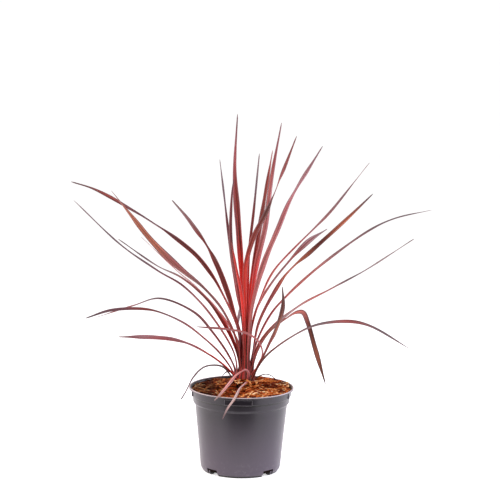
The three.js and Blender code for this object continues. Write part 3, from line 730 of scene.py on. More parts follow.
def bark_finish(name, stops, grain_scale):
    """Weathered bark or coir, whose colour runs over the stops from piece to piece and along its grain, with
    painted shade on the left.
    """
    finish, tree, shader, place = new_finish(name)
    own_shade = add_node(tree, "ShaderNodeAttribute", attribute_name="shade").outputs["Fac"]
    grain = {"Vector": place, "Scale": grain_scale, "Detail": 5.0, "Roughness": 0.65}
    grain = add_node(tree, "ShaderNodeTexNoise", grain)
    span = {"Value": grain, "From Min": 0.3, "From Max": 0.7, "To Min": -0.28, "To Max": 0.28}
    spread = add_node(tree, "ShaderNodeMapRange", span)
    tone = add_node(tree, "ShaderNodeMath", {0: own_shade, 1: spread}, use_clamp=True)
    ramp = add_node(tree, "ShaderNodeValToRGB", {"Fac": tone}, stops=stops)
    # Painted shade: the left side, which lies in shadow, is painted darker, up to a blotchy border near the
    # stem.
    left = add_node(tree, "ShaderNodeSeparateXYZ", {"Vector": place}).outputs["X"]
    blotch = add_node(tree, "ShaderNodeTexNoise", {"Vector": place, "Scale": 45.0, "Detail": 2.0})
    blurred = add_node(tree, "ShaderNodeMath", {0: blotch, 1: 0.05, 2: left}, operation="MULTIPLY_ADD")
    span = {"Value": blurred, "From Min": -0.03, "From Max": 0.015, "To Min": 0.26, "To Max": 1.0}
    left_painted_shade = add_node(tree, "ShaderNodeMapRange", span, interpolation_type="SMOOTHSTEP")
    shaded = add_node(tree, "ShaderNodeVectorMath", {0: ramp, "Scale": left_painted_shade}, operation="SCALE")
    bump = add_node(tree, "ShaderNodeBump", {"Height": grain, "Strength": 0.7, "Distance": 0.0006})
    surface = {"Base Color": shaded, "Normal": bump, "Roughness": 0.82, "Specular IOR Level": 0.1}
    set_inputs(shader, surface)
    return finish


# Shredded pine bark: red-brown plates with near-black gaps between them and a few pale torn faces.
bark = bark_finish(
    "shredded_pine_bark",
    ((0.0, "#120401"), (0.3, "#3a1204"), (0.62, "#84340c"), (0.86, "#bd6226"), (1.0, "#e6a868")),
    520.0,
)
# Coir: coarse orange-brown husk fibre, the palest of it straw-coloured.
coir = bark_finish(
    "coir_fibre",
    ((0.0, "#4a1604"), (0.4, "#943a10"), (0.76, "#c46a2a"), (0.93, "#e6a260"), (1.0, "#f4d2a4")),
    300.0,
)

LIMITS = {"Rim limit": (inner_radius(POT_HEIGHT) - 0.5) * MM, "Ceiling": 151.0 * MM}
mulch = new_piece("bark_mulch_bed", bark_bed(), bark)
strands = new_piece("coir_strands", mulch.data.copy(), coir)
loose_bark = {"Chip density": 44000.0, "Crumb density": 60000.0, "Seed": 7, "Finish": bark}
run_tree(mulch, chips_tree, {**loose_bark, **LIMITS})
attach(mulch, "root")
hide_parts("bark_mulch")
fibre = {"Strand density": 36000.0, "Strand length": 0.031, "Strand width": 0.0030}
run_tree(strands, strands_tree, {**fibre, "Seed": 11, "Finish": coir, **LIMITS})
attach(strands, "root")

# Stem
# The short young trunk, as thick as a thumb and fleshy, ribbed by the bases of old leaves. It grows up
# through the bark and narrows to the growing point inside the crown.

CROWN_X = 6.5  # upright axis that the leaves' courses are measured from
STEM_RADIUS = 16.5
STEM_HEIGHT, STEM_DEPTH = 76.0, 26.0  # above and below the bark
STEM_TAPER = ((0, STEM_RADIUS), (16, 16.0), (24, 13.5), (34, 9.5), (46, 6.6), (60, 4.2), (STEM_HEIGHT, 2.2))
STEM_LOBES = 13
STEM_SIDES = 104
STEM_INSET = 2.2  # how far the stem's flesh lies under the leaf bases that wrap it


def stem_radius(height):
    """The stem's radius at a height above the bark, both in millimetres."""
    heights, radii = zip(*STEM_TAPER)
    return float(np.interp(height, heights, radii))


def stem_lean(height):
    """How far the stem's axis stands from the crown's axis at a height above the bark, in millimetres."""
    return (STEM_X - CROWN_X) * (1 - min(max(height / STEM_HEIGHT, 0.0), 1.0))


def stem_mesh(name):
    """The stem from its cut end in the compost to the growing point, ribbed by old leaf bases."""
    outline = [(0, -STEM_DEPTH), (STEM_RADIUS - 2, -STEM_DEPTH)]
    for height in np.arange(-STEM_DEPTH + 2, STEM_HEIGHT - 1, 2.0):
        inset = STEM_INSET * (1 - 0.8 * smoothstep(height, 40.0, 70.0))
        outline.append((max(stem_radius(height) - inset, 0.6), height))
    outline.append((0, STEM_HEIGHT - 1))
    mesh = revolved(name, [(radius, height + SOIL_LEVEL) for radius, height in outline], STEM_SIDES)
    ridge = mesh.attributes.new("ridge", "FLOAT", "POINT")
    for vertex in mesh.vertices:
        x, y, z = (c / MM for c in vertex.co)
        height = z - SOIL_LEVEL
        # 0 in the grooves between the old leaf bases and 1 on their ridges, which wind slowly up the stem.
        lobe = abs(math.cos(STEM_LOBES / 2 * (math.atan2(y, x) + 0.3 * math.sin(height / 9.0))))
        ridge.data[vertex.index].value = lobe
        swell = 1 + (0.06 * lobe if height > -STEM_DEPTH + 1 else 0.0)
        vertex.co = ((x * swell + CROWN_X + stem_lean(height)) * MM, y * swell * MM, z * MM)
    return mesh


# Young cordyline stem: fleshy leaf bases, pink-red on their ridges and dark wine in the grooves between,
# deepened to near black there as painted shade.
stem_finish, tree, shader, place = new_finish("fleshy_young_stem")
upright = add_node(tree, "ShaderNodeMapping", {"Vector": place, "Scale": (700.0, 700.0, 60.0)})
fibre = add_node(tree, "ShaderNodeTexNoise", {"Vector": upright, "Scale": 1.0, "Detail": 4.0})
ridge = add_node(tree, "ShaderNodeAttribute", attribute_name="ridge").outputs["Fac"]
mottled = add_node(tree, "ShaderNodeMath", {0: fibre, 1: 0.5, 2: ridge}, operation="MULTIPLY_ADD")
# Painted shade: the grooves' end of the ramp is near black.
skin = add_node(tree, "ShaderNodeValToRGB", {"Fac": mottled}, stops=((0.55, "#1a0504"), (1.15, "#a8423f")))
bump = add_node(tree, "ShaderNodeBump", {"Height": fibre, "Strength": 0.5, "Distance": 0.0004})
set_inputs(shader, {"Base Color": skin, "Normal": bump, "Roughness": 0.6})

stem = new_piece("ribbed_stem", stem_mesh("ribbed_stem"), stem_finish)
stem.data.shade_smooth()
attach(stem, "root")
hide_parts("stem")

# Leaves
# Thirty-four strap leaves grow in a spiral from the stem, each from a fleshy base that clasps it. They are
# thin, tough and folded a little along the midrib, and most are half turned about it before they arch over.

BLADE_THICKNESS = 0.85
BLADE_FOLD = (6, 34, 26, 18, 14, 12)  # degrees that each half stands up, at even steps from base to tip
LEAF_RINGS, SHEATH_RINGS = 84, 14
LEAF_ACROSS = (-1.0, -0.9, -0.68, -0.42, -0.16, 0.0, 0.16, 0.42, 0.68, 0.9, 1.0)
FOLD_ROUNDING = 0.22  # share of the half width over which the fold is rounded
SHEATH_FOOT = 1.5  # height above the bark's level at which the clasping bases start, under the heaped bark
SHEATH_STEP = 8.0
SHEATH_SINK, SHEATH_SINK_REACH = 2.4, 22.0  # how deep a base lies under those of older leaves at its foot
SHEATH_REACH = 24.0  # of the blade over which the clasping base narrows to it
SEAT_OUT = GAP + BLADE_THICKNESS / 2 + 0.1  # of the midrib, beyond the stem's surface
RIPPLE = 0.28  # how far the edges rise and fall
WAIST, WAIST_LENGTH = 0.05, 19.0  # share by which the width comes and goes, and over how long a stretch
BLADE_MIDDLE, FLESHY_BASE = 0.66, 0.7  # thickness along the midrib, and what the leaf's foot has more
KEEL, KEEL_WIDTH = 0.30, 0.16  # how far the midrib stands out below, and its share of the half width

# The colours that a leaf runs through from its base to its tip. 'shade', near black, is painted shade,
# used at the bases of leaves that lie in the shadow of others.
TONES = {
    "shade": "#200808", "flesh": "#8a3532", "wine": "#3c0f0e", "crimson": "#7c140c", "scarlet": "#cc2318",
    "maroon": "#4c1b1b", "brick": "#6e2c27", "rose": "#864545", "salmon": "#9d5853", "bronze": "#744030",
    "umber": "#45201a", "olive": "#44332a", "plum": "#5a3d45", "mauve": "#7d595b", "ash": "#5f5357",
    "copper": "#9a5640", "pale": "#8f7d7e", "blush": "#c2857f", "shell": "#b49c97",
}

# seat: height above the bark where the leaf leaves the stem, in millimetres.
# turn: azimuth of the leaf, at its seat and at each point of its course. The last value holds for the rest.
# course: points that the midrib passes, each as distance out from the crown's axis and height above the bark.
# width: of the blade, at even steps from base to tip.
# roll: degrees that the blade is turned about its midrib, at even steps from base to tip.
# tones: the leaf's colours, at even steps from base to tip.
# dry: how much of its bright margin a drying leaf has lost, from 0 to 0.8.
LEAVES = [
    # Short leaves that droop over the rim
    dict(seat=10, turn=[279, 276, 268, 262, 261, 259, 254, 250], slot="leaf_rose",
         width=[3, 3.8, 4.2, 4.2, 3.5, 1.3], roll=[0, 0],
         course=[(22, 14), (42, 15), (61, 12), (82, 8), (92, 1), (98, -12), (103, -29)],
         tones="flesh shell shell shell ash"),
    dict(seat=14, turn=[290, 284, 281, 268, 251, 247, 244, 239], slot="leaf_rose",
         width=[4, 4.5, 5.5, 6, 5, 1.3], roll=[0, -10, -45, -75, -80, -80],
         course=[(19, 20), (23, 30), (28, 35), (45, 29), (60, 21), (86, 8), (94, -3)],
         tones="flesh blush blush blush shell"),
    dict(seat=11, turn=[190], slot="leaf_bronze", dry=0.7, width=[4, 4.5, 4.5, 4, 3, 1.6],
         roll=[0, -15, -20, -30, -45],
         course=[(30, 28), (38, 35), (50, 38), (68, 35), (85, 19), (97, -4), (105, -17)],
         tones="olive ash ash ash ash"),
    dict(seat=9, turn=[142], slot="leaf_bronze", dry=0.7, width=[4, 5, 5, 4, 3, 1.3], roll=[0, -15, -25],
         course=[(24, 19), (32, 22), (42, 19), (50, 10)], tones="shade olive olive olive"),

    # Low arching leaves
    dict(seat=12, turn=[226], slot="leaf_red", width=[4, 6, 8, 8, 7, 1.3],
         roll=[0, -10, -20, -45, -60, -50],
         course=[(26, 23), (54, 47), (91, 70), (145, 95), (196, 108), (276, 120)],
         tones="wine crimson maroon mauve rose mauve maroon"),
    dict(seat=12, turn=[329, 326, 324], slot="leaf_rose", dry=0.6, width=[4, 6, 8, 8, 6, 1.3],
         roll=[0, 5, 10, 35, 15, 0],
         course=[(19, 28), (36, 53), (66, 79), (126, 115), (184, 131), (230, 131), (307, 104)],
         tones="wine olive olive ash rose ash pale"),
    dict(seat=8, turn=[306, 301, 298], slot="leaf_bronze", width=[4, 6, 7.5, 9, 8.5, 1.3],
         roll=[0, 20, 20, 0, -10, -20],
         course=[(24, 23), (46, 48), (71, 76), (102, 115), (121, 155), (117, 184)],
         tones="wine wine maroon brick bronze umber olive"),
    dict(seat=24, turn=[324, 330, 332, 334], slot="leaf_bronze", width=[4, 6, 8, 8.5, 8, 1.3],
         roll=[0, 10, 15, 65, 70, 70],
         course=[(20, 59), (39, 92), (65, 116), (91, 132), (100, 132), (108, 117), (120, 82), (141, 21)],
         tones="maroon rose bronze salmon umber bronze olive"),
    dict(seat=18, turn=[163], slot="leaf_maroon", width=[4, 6, 8, 7.5, 5.5, 1.6],
         roll=[0, -10, -10, -10, -20, -20],
         course=[(19, 31), (31, 53), (59, 88), (90, 117), (149, 136), (195, 121), (261, 97)],
         tones="brick maroon mauve plum ash rose ash"),
    dict(seat=16, turn=[204], slot="leaf_maroon", width=[4, 6, 8, 8, 6, 1.6],
         roll=[0, -10, -10, -15, -40, -50],
         course=[(24, 31), (43, 57), (71, 84), (113, 115), (165, 137), (229, 141), (272, 131)],
         tones="flesh maroon brick plum brick plum ash"),
    dict(seat=28, turn=[180], slot="leaf_maroon", width=[4, 6, 8, 7.5, 5.5, 1.8],
         roll=[0, -8, -8, -10, -15, -15],
         course=[(19, 57), (66, 128), (105, 166), (144, 189), (203, 230), (278, 301)],
         tones="wine maroon mauve plum ash ash pale"),
    dict(seat=14, turn=[94], slot="leaf_maroon", width=[4, 6, 8, 7.5, 5, 1.3], roll=[0, 0],
         course=[(20, 40), (60, 85), (120, 105), (185, 85), (230, 50)],
         tones="wine maroon maroon olive plum ash"),
    dict(seat=20, turn=[86], slot="leaf_red", width=[4, 6, 8, 7.5, 5, 1.3], roll=[0, 0],
         course=[(18, 55), (50, 105), (110, 140), (180, 145), (245, 120)],
         tones="wine crimson brick maroon rose ash"),
    dict(seat=26, turn=[356, 352, 347, 344], slot="leaf_rose", width=[4, 8, 6.5, 5.5, 4.5, 1.8],
         roll=[0, 50, 20, 12, 12, 12],
         course=[(15, 57), (35, 91), (86, 138), (135, 168), (193, 203), (269, 257)],
         tones="wine bronze pale salmon ash pale pale"),
    dict(seat=28, turn=[20], slot="leaf_rose", width=[4, 6, 8, 7.5, 5.5, 1.8],
         roll=[0, 5, 12, 12, 12, 12],
         course=[(15, 64), (42, 117), (69, 146), (130, 196), (215, 251), (258, 268), (323, 280)],
         tones="wine rose salmon mauve ash ash"),
    dict(seat=16, turn=[306, 309, 312, 308, 295, 273, 247, 220], slot="leaf_rose",
         width=[3.5, 4.5, 4.5, 4.5, 3.5, 1.3], roll=[0, 45, 55, 40, 35, 35],
         course=[(18, 27), (33, 45), (43, 66), (47, 86), (49, 99), (60, 106), (103, 112)],
         tones="wine olive brick salmon salmon salmon mauve"),

    # Leaves that lean out at about half way up
    dict(seat=32, turn=[140], slot="leaf_maroon", width=[4, 8, 7, 6, 4.5, 1.8],
         roll=[0, -30, -5, -5, -5, -5],
         course=[(18, 52), (29, 74), (48, 99), (88, 135), (142, 163), (197, 177), (287, 213)],
         tones="wine crimson brick salmon pale ash ash"),
    dict(seat=36, turn=[126], slot="leaf_rose", width=[4, 6, 7, 6.5, 4.5, 1.3],
         roll=[0, 40, 45, 45, 40, 40], course=[(22, 70), (68, 107), (133, 139), (205, 164), (317, 208)],
         tones="wine brick mauve pale salmon ash"),
    dict(seat=34, turn=[91], slot="leaf_maroon", width=[4, 6, 8, 7.5, 5, 1.3], roll=[0, 0],
         course=[(16, 75), (50, 130), (110, 160), (190, 165), (270, 140), (325, 98)],
         tones="wine maroon brick olive plum ash"),
    dict(seat=34, turn=[212], slot="leaf_bronze", width=[4, 6, 7.5, 11.5, 8.5, 1.5],
         roll=[0, 10, 15, 25, 45, 62, 65, 30, -15],
         course=[(20, 82), (45, 129), (82, 170), (126, 205), (172, 248), (245, 332)],
         tones="wine crimson mauve mauve rose copper copper salmon"),
    dict(seat=38, turn=[54], slot="leaf_rose", width=[4, 6, 8, 9, 9, 1.3],
         roll=[0, -10, -20, -25, 30, 40],
         course=[(18, 101), (31, 127), (69, 161), (120, 193), (173, 220), (230, 236)],
         tones="maroon brick salmon mauve rose mauve pale"),
    dict(seat=42, turn=[152], slot="leaf_maroon", width=[4, 7, 9.5, 8, 6.5, 1.8],
         roll=[0, 10, 14, -30, -35, 15, -30, -40, -40],
         course=[(15, 91), (31, 126), (81, 195), (122, 226), (216, 273), (290, 303), (337, 313)],
         tones="wine brick brick maroon plum brick ash"),
    dict(seat=38, turn=[4, 0, 356], slot="leaf_maroon", width=[4, 7, 8.5, 8, 7, 1.5],
         roll=[0, 15, 35, 45, 5, 50, 50, 45, 40],
         course=[(12, 64), (22, 109), (63, 186), (101, 224), (158, 279), (198, 320)],
         tones="wine salmon rose copper umber copper ash"),
    dict(seat=44, turn=[38], slot="leaf_red", width=[4, 6, 7, 7, 5.5, 1.6],
         roll=[0, -10, -15, -12, -12, -10, 20, -15, -20],
         course=[(12, 97), (31, 147), (56, 186), (106, 226), (167, 270), (256, 352)],
         tones="crimson brick salmon rose mauve ash ash"),
    dict(seat=44, turn=[120, 124, 128, 128, 128, 128, 127], slot="leaf_maroon",
         width=[4, 7, 10, 9.5, 7, 1.8], roll=[0, -10, -20, -20, -15, 32, -10, -10, -10],
         course=[(15, 78), (27, 105), (55, 154), (89, 198), (154, 251), (214, 283)],
         tones="wine brick brick brick brick mauve pale"),

    # Upright leaves round the growing point
    dict(seat=48, turn=[312], slot="leaf_rose", width=[4.5, 8, 11, 10, 8, 1.5],
         roll=[0, -10, -15, -15, -15, -15, 8, -20, -20],
         course=[(9, 96), (16, 140), (42, 210), (73, 269), (98, 314), (167, 404)],
         tones="brick salmon salmon salmon rose mauve ash"),
    dict(seat=52, turn=[98, 103, 106], slot="leaf_maroon", width=[3, 5, 6, 5.5, 4, 1.3],
         roll=[0, 30, 30, 30, 30, 30], course=[(19, 91), (65, 149), (105, 210), (140, 280), (178, 353)],
         tones="maroon wine crimson brick maroon ash pale"),
    dict(seat=50, turn=[45], slot="leaf_rose", width=[3.5, 7, 9.5, 9.5, 7, 1.5], roll=[0, 5, 10, 10],
         course=[(6, 94), (9, 142), (15, 190), (35, 292), (54, 382)],
         tones="maroon scarlet scarlet crimson brick brick salmon"),
    dict(seat=52, turn=[248], slot="leaf_red", width=[3, 5.5, 7, 6, 4, 1.3], roll=[0, 0],
         course=[(10, 90), (16, 130), (26, 162), (39, 187), (68, 247)],
         tones="umber crimson scarlet scarlet scarlet scarlet brick"),
    dict(seat=56, turn=[80, 84, 86, 84, 80], slot="leaf_maroon", width=[3, 4, 5, 5, 3.5, 1.5],
         roll=[0, 10, 20, 20, 20, 20], course=[(10, 94), (15, 150), (22, 215), (53, 283), (99, 371)],
         tones="maroon crimson scarlet crimson brick ash pale"),
    dict(seat=58, turn=[344, 339, 336, 335], slot="leaf_rose", width=[4, 7.5, 10, 10, 6.5, 1.3],
         roll=[0, -30, -50, -50, -45, -40],
         course=[(6, 95), (8, 130), (17, 199), (31, 262), (41, 345), (56, 431)],
         tones="brick scarlet scarlet salmon salmon brick mauve"),
    dict(seat=60, turn=[222], slot="leaf_maroon", width=[4, 7.5, 10, 9, 5.5, 1.3],
         roll=[0, 10, 15, 15, 15, 15],
         course=[(7, 90), (10, 114), (23, 178), (36, 238), (35, 316), (31, 341)],
         tones="shade wine crimson brick maroon maroon plum"),
    dict(seat=65, turn=[284, 282, 264, 266, 282, 294, 300, 306], slot="leaf_bronze",
         width=[4, 7, 9.5, 9.5, 6, 1.3], roll=[0, 0, 0, 0, 0, 10, 60, -10, -10],
         course=[(4, 90), (7, 125), (28, 200), (51, 254), (70, 292), (92, 340), (124, 417)],
         tones="wine scarlet scarlet crimson wine rose rose"),
    dict(seat=69, turn=[122], slot="leaf_red", width=[4.5, 9, 11.5, 13, 5.5, 1.3], roll=[0, 0],
         course=[(4, 95), (8, 126), (18, 178), (31, 260), (43, 346), (36, 440)],
         tones="maroon scarlet scarlet brick brick rose ash"),
]


def along_blade(values, share):
    """Values that stand at even steps along a blade, eased from each to the next."""
    place = np.clip(share, 0.0, 1.0) * (len(values) - 1)
    first = np.minimum(np.floor(place).astype(int), len(values) - 2)
    eased = smoothstep(place - first, 0.0, 1.0)
    values = np.asarray(values, float)
    if values.ndim > 1:
        eased = eased[:, None]
    return values[first] + (values[first + 1] - values[first]) * eased


def turn_at(leaf, place):
    """The leaf's azimuth in radians at its seat, which is place 0, or at a point of its course."""
    return math.radians(leaf["turn"][min(place, len(leaf["turn"]) - 1)])


def course_points(leaf):
    """The points of a leaf's midrib from its seat on the stem, in millimetres from the crown's foot."""
    course = [(stem_radius(leaf["seat"]) + SEAT_OUT, leaf["seat"])] + leaf["course"]
    turns = [turn_at(leaf, i) for i in range(len(course))]
    points = [(out * math.cos(turn), out * math.sin(turn), up) for turn, (out, up) in zip(turns, course)]
    return np.array(points) + np.outer([1.0] + [0.0] * (len(points) - 1), (stem_lean(leaf["seat"]), 0.0, 0.0))


def sheath_points(leaf):
    """The points of a leaf's clasping base, up the stem's side from the bark to just below the seat."""
    count = max(2, round((leaf["seat"] - SHEATH_FOOT) / SHEATH_STEP))
    points = []
    for height in np.linspace(SHEATH_FOOT, leaf["seat"], count, endpoint=False):
        sink = SHEATH_SINK * (1 - math.exp(-(leaf["seat"] - height) / SHEATH_SINK_REACH))
        out = stem_radius(height) + SEAT_OUT - sink
        turn = turn_at(leaf, 0)
        points.append((out * math.cos(turn) + stem_lean(height), out * math.sin(turn), height))
    return np.array(points)


def midrib(points, place):
    """Points of the centripetal Catmull-Rom curve through the given points, at places from 0 to 1."""
    padded = np.vstack([2 * points[0] - points[1], points, 2 * points[-1] - points[-2]])
    spans = len(points) - 1
    span = np.clip(np.floor(place * spans).astype(int), 0, spans - 1)
    local = (place * spans - span)[:, None]
    p0, p1, p2, p3 = (padded[span + i] for i in range(4))
    d0, d1, d2 = (np.sqrt(np.linalg.norm(b - a, axis=1))[:, None] for a, b in ((p0, p1), (p1, p2), (p2, p3)))
    t1 = ((p1 - p0) / d0 - (p2 - p0) / (d0 + d1) + (p2 - p1) / d1) * d1
    t2 = ((p2 - p1) / d1 - (p3 - p1) / (d1 + d2) + (p3 - p2) / d2) * d1
    square, cube = local**2, local**3
    return (
        (2 * cube - 3 * square + 1) * p1
        + (cube - 2 * square + local) * t1
        + (3 * square - 2 * cube) * p2
        + (cube - square) * t2
    )


def leaf_mesh(name, leaf, draw):
    """A thin closed blade round its midrib, with its places along, across and under kept for its finish."""
    sheath = sheath_points(leaf)
    points = np.vstack([sheath, course_points(leaf)])
    seat_place = len(sheath) / (len(points) - 1)
    place = np.linspace(0.0, seat_place, SHEATH_RINGS, endpoint=False)
    place = np.concatenate([place, np.linspace(seat_place, 1.0, LEAF_RINGS)])
    centres = midrib(points, place)
    ahead = midrib(points, np.minimum(place + 1e-4, 1.0))
    behind = midrib(points, np.maximum(place - 1e-4, 0.0))
    tangents = (ahead - behind) / np.linalg.norm(ahead - behind, axis=1)[:, None]
    travelled = np.concatenate([[0.0], np.cumsum(np.linalg.norm(np.diff(centres, axis=0), axis=1))])
    travelled -= travelled[SHEATH_RINGS]
    share = np.clip(travelled / travelled[-1], 0.0, 1.0)
    rings = len(share)

    # The side starts across the stem, again at the seat, and is carried along the midrib without twisting.
    across_stem = np.array([-math.sin(turn_at(leaf, 0)), math.cos(turn_at(leaf, 0)), 0.0])
    side = across_stem
    sides = []
    for i, tangent in enumerate(tangents):
        if i == SHEATH_RINGS:
            side = across_stem
        side = side - tangent * side.dot(tangent)
        side = side / np.linalg.norm(side)
        sides.append(side)
    sides = np.array(sides)
    roll = np.radians(along_blade(leaf["roll"], share))[:, None]
    sides = sides * np.cos(roll) + np.cross(tangents, sides) * np.sin(roll)
    uppers = np.cross(tangents, sides)

    # The half width and thickness of each ring, which grow toward the fleshy base and fade at the tip.
    fold = np.radians(along_blade(BLADE_FOLD, share))
    clasp = 1 - smoothstep(travelled, 0.0, SHEATH_REACH)
    stem_near = np.array([stem_radius(height) for height in np.minimum(centres[:, 2], leaf["seat"])])
    half = along_blade(leaf["width"], share) / 2
    half = half * (1 + WAIST * np.sin(travelled / WAIST_LENGTH + draw.uniform(0, 6)))
    sheath_half = np.minimum(min(3.6, 0.45 * max(leaf["width"])), 0.9 + 0.23 * stem_near)
    half = np.maximum(half, half + (sheath_half - half) * clasp)
    half = (half + 0.3 * smoothstep(share, 0.7, 0.95)) * (1 - 0.7 * smoothstep(share, 0.985, 1.0))
    ripple = RIPPLE * np.sin(travelled / draw.uniform(9, 13) + draw.uniform(0, 6))
    ripple = ripple * smoothstep(share, 0.1, 0.3)
    stout = (1 - smoothstep(travelled, 15.0, 140.0)) * min(1.0, max(leaf["width"]) / 8)
    thick = BLADE_MIDDLE + FLESHY_BASE * stout + FLESHY_BASE * clasp
    thick = thick * (1 - 0.25 * smoothstep(share, 0.55, 1.0))

    # Each ring runs over the top and back under the blade, folded, wrapped round the stem and rippled.
    across = np.array(LEAF_ACROSS)
    crease = (np.sqrt(across**2 + FOLD_ROUNDING**2) - FOLD_ROUNDING) / (
        math.sqrt(1 + FOLD_ROUNDING**2) - FOLD_ROUNDING
    )
    reach = half[:, None] * np.cos(fold)[:, None] * across
    lift = half[:, None] * np.sin(fold)[:, None] * crease
    lift += (clasp * half**2 / (2 * stem_near + 1.6))[:, None] * across**2
    lift += ripple[:, None] * np.sign(across) * np.abs(across) ** 2.5
    body = thick[:, None] / 2 * (1 - 0.62 * np.abs(across) ** 2.2)
    keel = (KEEL + 0.5 * stout) * (1 - smoothstep(share, 0.6, 1.0))
    keel = np.exp(-((across / KEEL_WIDTH) ** 2)) * keel[:, None]
    middle = centres[:, None, :] + sides[:, None, :] * reach[:, :, None]
    middle = middle + uppers[:, None, :] * lift[:, :, None]
    top = middle + uppers[:, None, :] * body[:, :, None]
    under = middle - uppers[:, None, :] * (body + keel)[:, :, None]
    loop = np.concatenate([top, under[:, ::-1]], axis=1)
    loop = loop + np.array([CROWN_X, 0.0, SOIL_LEVEL])
    ring = loop.shape[1]
    faces = []
    for i in range(rings - 1):
        for j in range(ring):
            k = (j + 1) % ring
            faces.append((i * ring + j, i * ring + k, (i + 1) * ring + k, (i + 1) * ring + j))
    faces += [tuple(range(ring))[::-1], tuple(range((rings - 1) * ring, rings * ring))]
    mesh = bpy.data.meshes.new(name)
    mesh.from_pydata((loop.reshape(-1, 3) * MM).tolist(), [], faces)
    mesh.shade_smooth()

    # The leaf's colour, which turns at the clasping base to a tone drawn at random: fleshy in three draws of
    # five, and near-black painted shade in the other two. It is darker at the tip.
    ground = along_blade([linear(TONES[tone])[:3] for tone in leaf["tones"].split()], share)
    foot_share = 0.6 * smoothstep(-travelled, 0.0, 25.0)[:, None]
    base = draw.choice(("salmon", "shade", "flesh", "shade", "rose"))
    ground = ground * (1 - foot_share) + np.array(linear(TONES[base])[:3]) * foot_share
    ground = ground * (1 - 0.35 * smoothstep(share, 0.8, 1.0))[:, None]
    ground = np.concatenate([ground, np.ones((len(ground), 1))], axis=1)
    attributes = {
        "along": np.repeat(share, ring),
        "across": np.tile(np.concatenate([across, across[::-1]]), rings),
        "under": np.tile(np.repeat([0.0, 1.0], len(across)), rings),
        "travel": np.repeat(travelled * MM, ring),
        "clasp": np.repeat(clasp, ring),
        "dry": np.full(rings * ring, leaf.get("dry", 0.0)),
    }
    for label, values in attributes.items():
        layer = mesh.attributes.new(label, "FLOAT", "POINT")
        layer.data.foreach_set("value", values.astype(np.float32))
    layer = mesh.color_attributes.new("ground", "FLOAT_COLOR", "POINT")
    layer.data.foreach_set("color", np.repeat(ground, ring, axis=0).astype(np.float32).ravel())
    return mesh


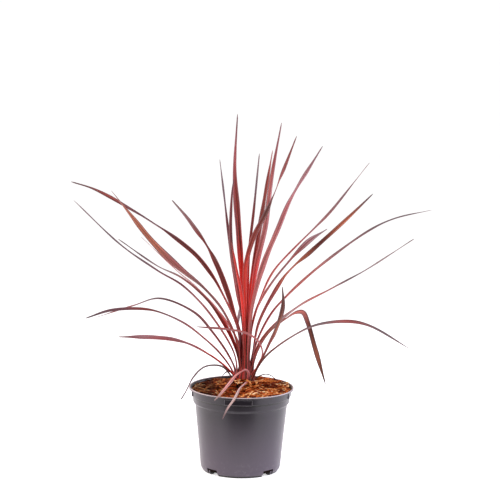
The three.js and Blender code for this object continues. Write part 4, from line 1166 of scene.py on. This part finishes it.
def leaf_finish(name, young_margin, old_margin, rib, underside):
    """Waxy skin in the leaf's colour, with veins, a midrib, margins partly painted light, and a paler
    underside.
    """
    finish, tree, shader, place = new_finish(name)
    layers = {}
    for label in ("across", "along", "under", "travel", "clasp", "dry"):
        layers[label] = add_node(tree, "ShaderNodeAttribute", attribute_name=label).outputs["Fac"]
    colour = add_node(tree, "ShaderNodeAttribute", attribute_name="ground")
    # Veins run along the leaf, so their noise is stretched many times further that way than across. They are
    # drawn three times as coarse as real ones, which are a third of a millimetre apart, so that they show.
    spot = {"X": layers["across"], "Y": layers["travel"]}
    spot["Z"] = add_node(tree, "ShaderNodeSeparateXYZ", {"Vector": place}).outputs["X"]
    spot = add_node(tree, "ShaderNodeCombineXYZ", spot)
    lights = []
    for scale, darkest, lightest in (((2.2, 9.0, 5.0), 0.42, 1.55), ((9.0, 22.0, 7.0), 0.66, 1.34)):
        stretched = add_node(tree, "ShaderNodeMapping", {"Vector": spot, "Scale": scale})
        veins = add_node(tree, "ShaderNodeTexNoise", {"Vector": stretched, "Scale": 1.0, "Detail": 2.0})
        span = {"Value": veins, "From Min": 0.36, "From Max": 0.64, "To Min": darkest, "To Max": lightest}
        lights.append(add_node(tree, "ShaderNodeMapRange", span))
    light = add_node(tree, "ShaderNodeMath", dict(enumerate(lights)), operation="MULTIPLY")
    colour = add_node(tree, "ShaderNodeVectorMath", {0: colour, "Scale": light}, operation="SCALE")
    from_rib = add_node(tree, "ShaderNodeMath", {0: layers["across"]}, operation="ABSOLUTE")
    span = {"Value": from_rib, "From Min": 0.24, "From Max": 0.04, "To Max": 0.5}
    on_rib = add_node(tree, "ShaderNodeMapRange", span, interpolation_type="SMOOTHSTEP")
    # The margin is bright red where the leaf is young and fleshy, partly as painted light for the light that
    # shines through it, and dries to a purplish grey toward the tip.
    margin = {"Fac": layers["along"]}
    margin = add_node(tree, "ShaderNodeValToRGB", margin, stops=((0.16, young_margin), (0.62, old_margin)))
    widened = {0: layers["clasp"], 1: 0.2, 2: from_rib}
    widened = add_node(tree, "ShaderNodeMath", widened, operation="MULTIPLY_ADD")
    kept = add_node(tree, "ShaderNodeMath", {0: 0.8, 1: layers["dry"]}, operation="SUBTRACT")
    span = {"Value": widened, "From Min": 0.56, "From Max": 0.86, "To Max": kept}
    on_margin = add_node(tree, "ShaderNodeMapRange", span, interpolation_type="SMOOTHSTEP")
    paled = add_node(tree, "ShaderNodeMath", {0: layers["under"], 1: 0.2}, operation="MULTIPLY")
    for mask, tint in ((on_rib, linear(rib)), (on_margin, margin), (paled, linear(underside))):
        colour = add_node(tree, "ShaderNodeMix", {0: mask, MIX_A: colour, MIX_B: tint}, data_type="RGBA")
    wax = add_node(tree, "ShaderNodeMapRange", {"Value": veins, "To Min": 0.40, "To Max": 0.56})
    bump = add_node(tree, "ShaderNodeBump", {"Height": veins, "Strength": 0.5, "Distance": 0.00015})
    surface = {"Base Color": colour, "Roughness": wax, "Normal": bump, "IOR": 1.42, "Specular IOR Level": 0.2}
    set_inputs(shader, surface)
    return finish


# Cordyline leaf skin: tough and waxy, streaked along its veins, with thin margins painted a brighter red,
# partly as painted light for the light that shines through them. The four finishes follow the leaf's age
# and the side that it shows.
LEAF_FINISHES = {
    "leaf_maroon": leaf_finish("waxy_maroon_leaf", "#b53a36", "#715254", "#6b2a27", "#7a4046"),
    "leaf_red": leaf_finish("waxy_scarlet_leaf", "#d63f35", "#8a5456", "#9c3327", "#9a403a"),
    "leaf_rose": leaf_finish("waxy_rose_leaf", "#c8534f", "#80696b", "#8a443f", "#96595c"),
    "leaf_bronze": leaf_finish("waxy_bronze_leaf", "#a8443d", "#6b585a", "#7e4838", "#6f473e"),
}

draw = random.Random(5)
for number, leaf in enumerate(LEAVES, start=1):
    node = f"leaf_{number:02d}"
    blade = new_piece(f"strap_{node}", leaf_mesh(f"strap_{node}", leaf, draw), LEAF_FINISHES[leaf["slot"]])
    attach(blade, "root")
    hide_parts(node)

# The stub of an old leaf, cut off short in front of the others.
STUB = dict(seat=9, turn=[296], slot="leaf_bronze", width=[5, 5.5, 5, 3.5], roll=[0, 0],
            course=[(20.5, 16), (22.5, 25)], tones="umber olive olive")
stub = new_piece("old_leaf_stub", leaf_mesh("old_leaf_stub", STUB, draw), LEAF_FINISHES[STUB["slot"]])
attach(stub, "root")

# A dried-up old leaf, no wider than a straw, that curls over onto the bark behind.
CURL = dict(seat=10, turn=[36], slot="leaf_bronze", dry=0.8, width=[3, 3, 2.8, 2.4, 1.4], roll=[0, 0],
            course=[(27, 15.5), (38, 18), (47.5, 16), (57, 10.5), (63, 3)], tones="shade olive olive ash")
curl = new_piece("dry_leaf_curl", leaf_mesh("dry_leaf_curl", CURL, draw), LEAF_FINISHES[CURL["slot"]])
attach(curl, "root")
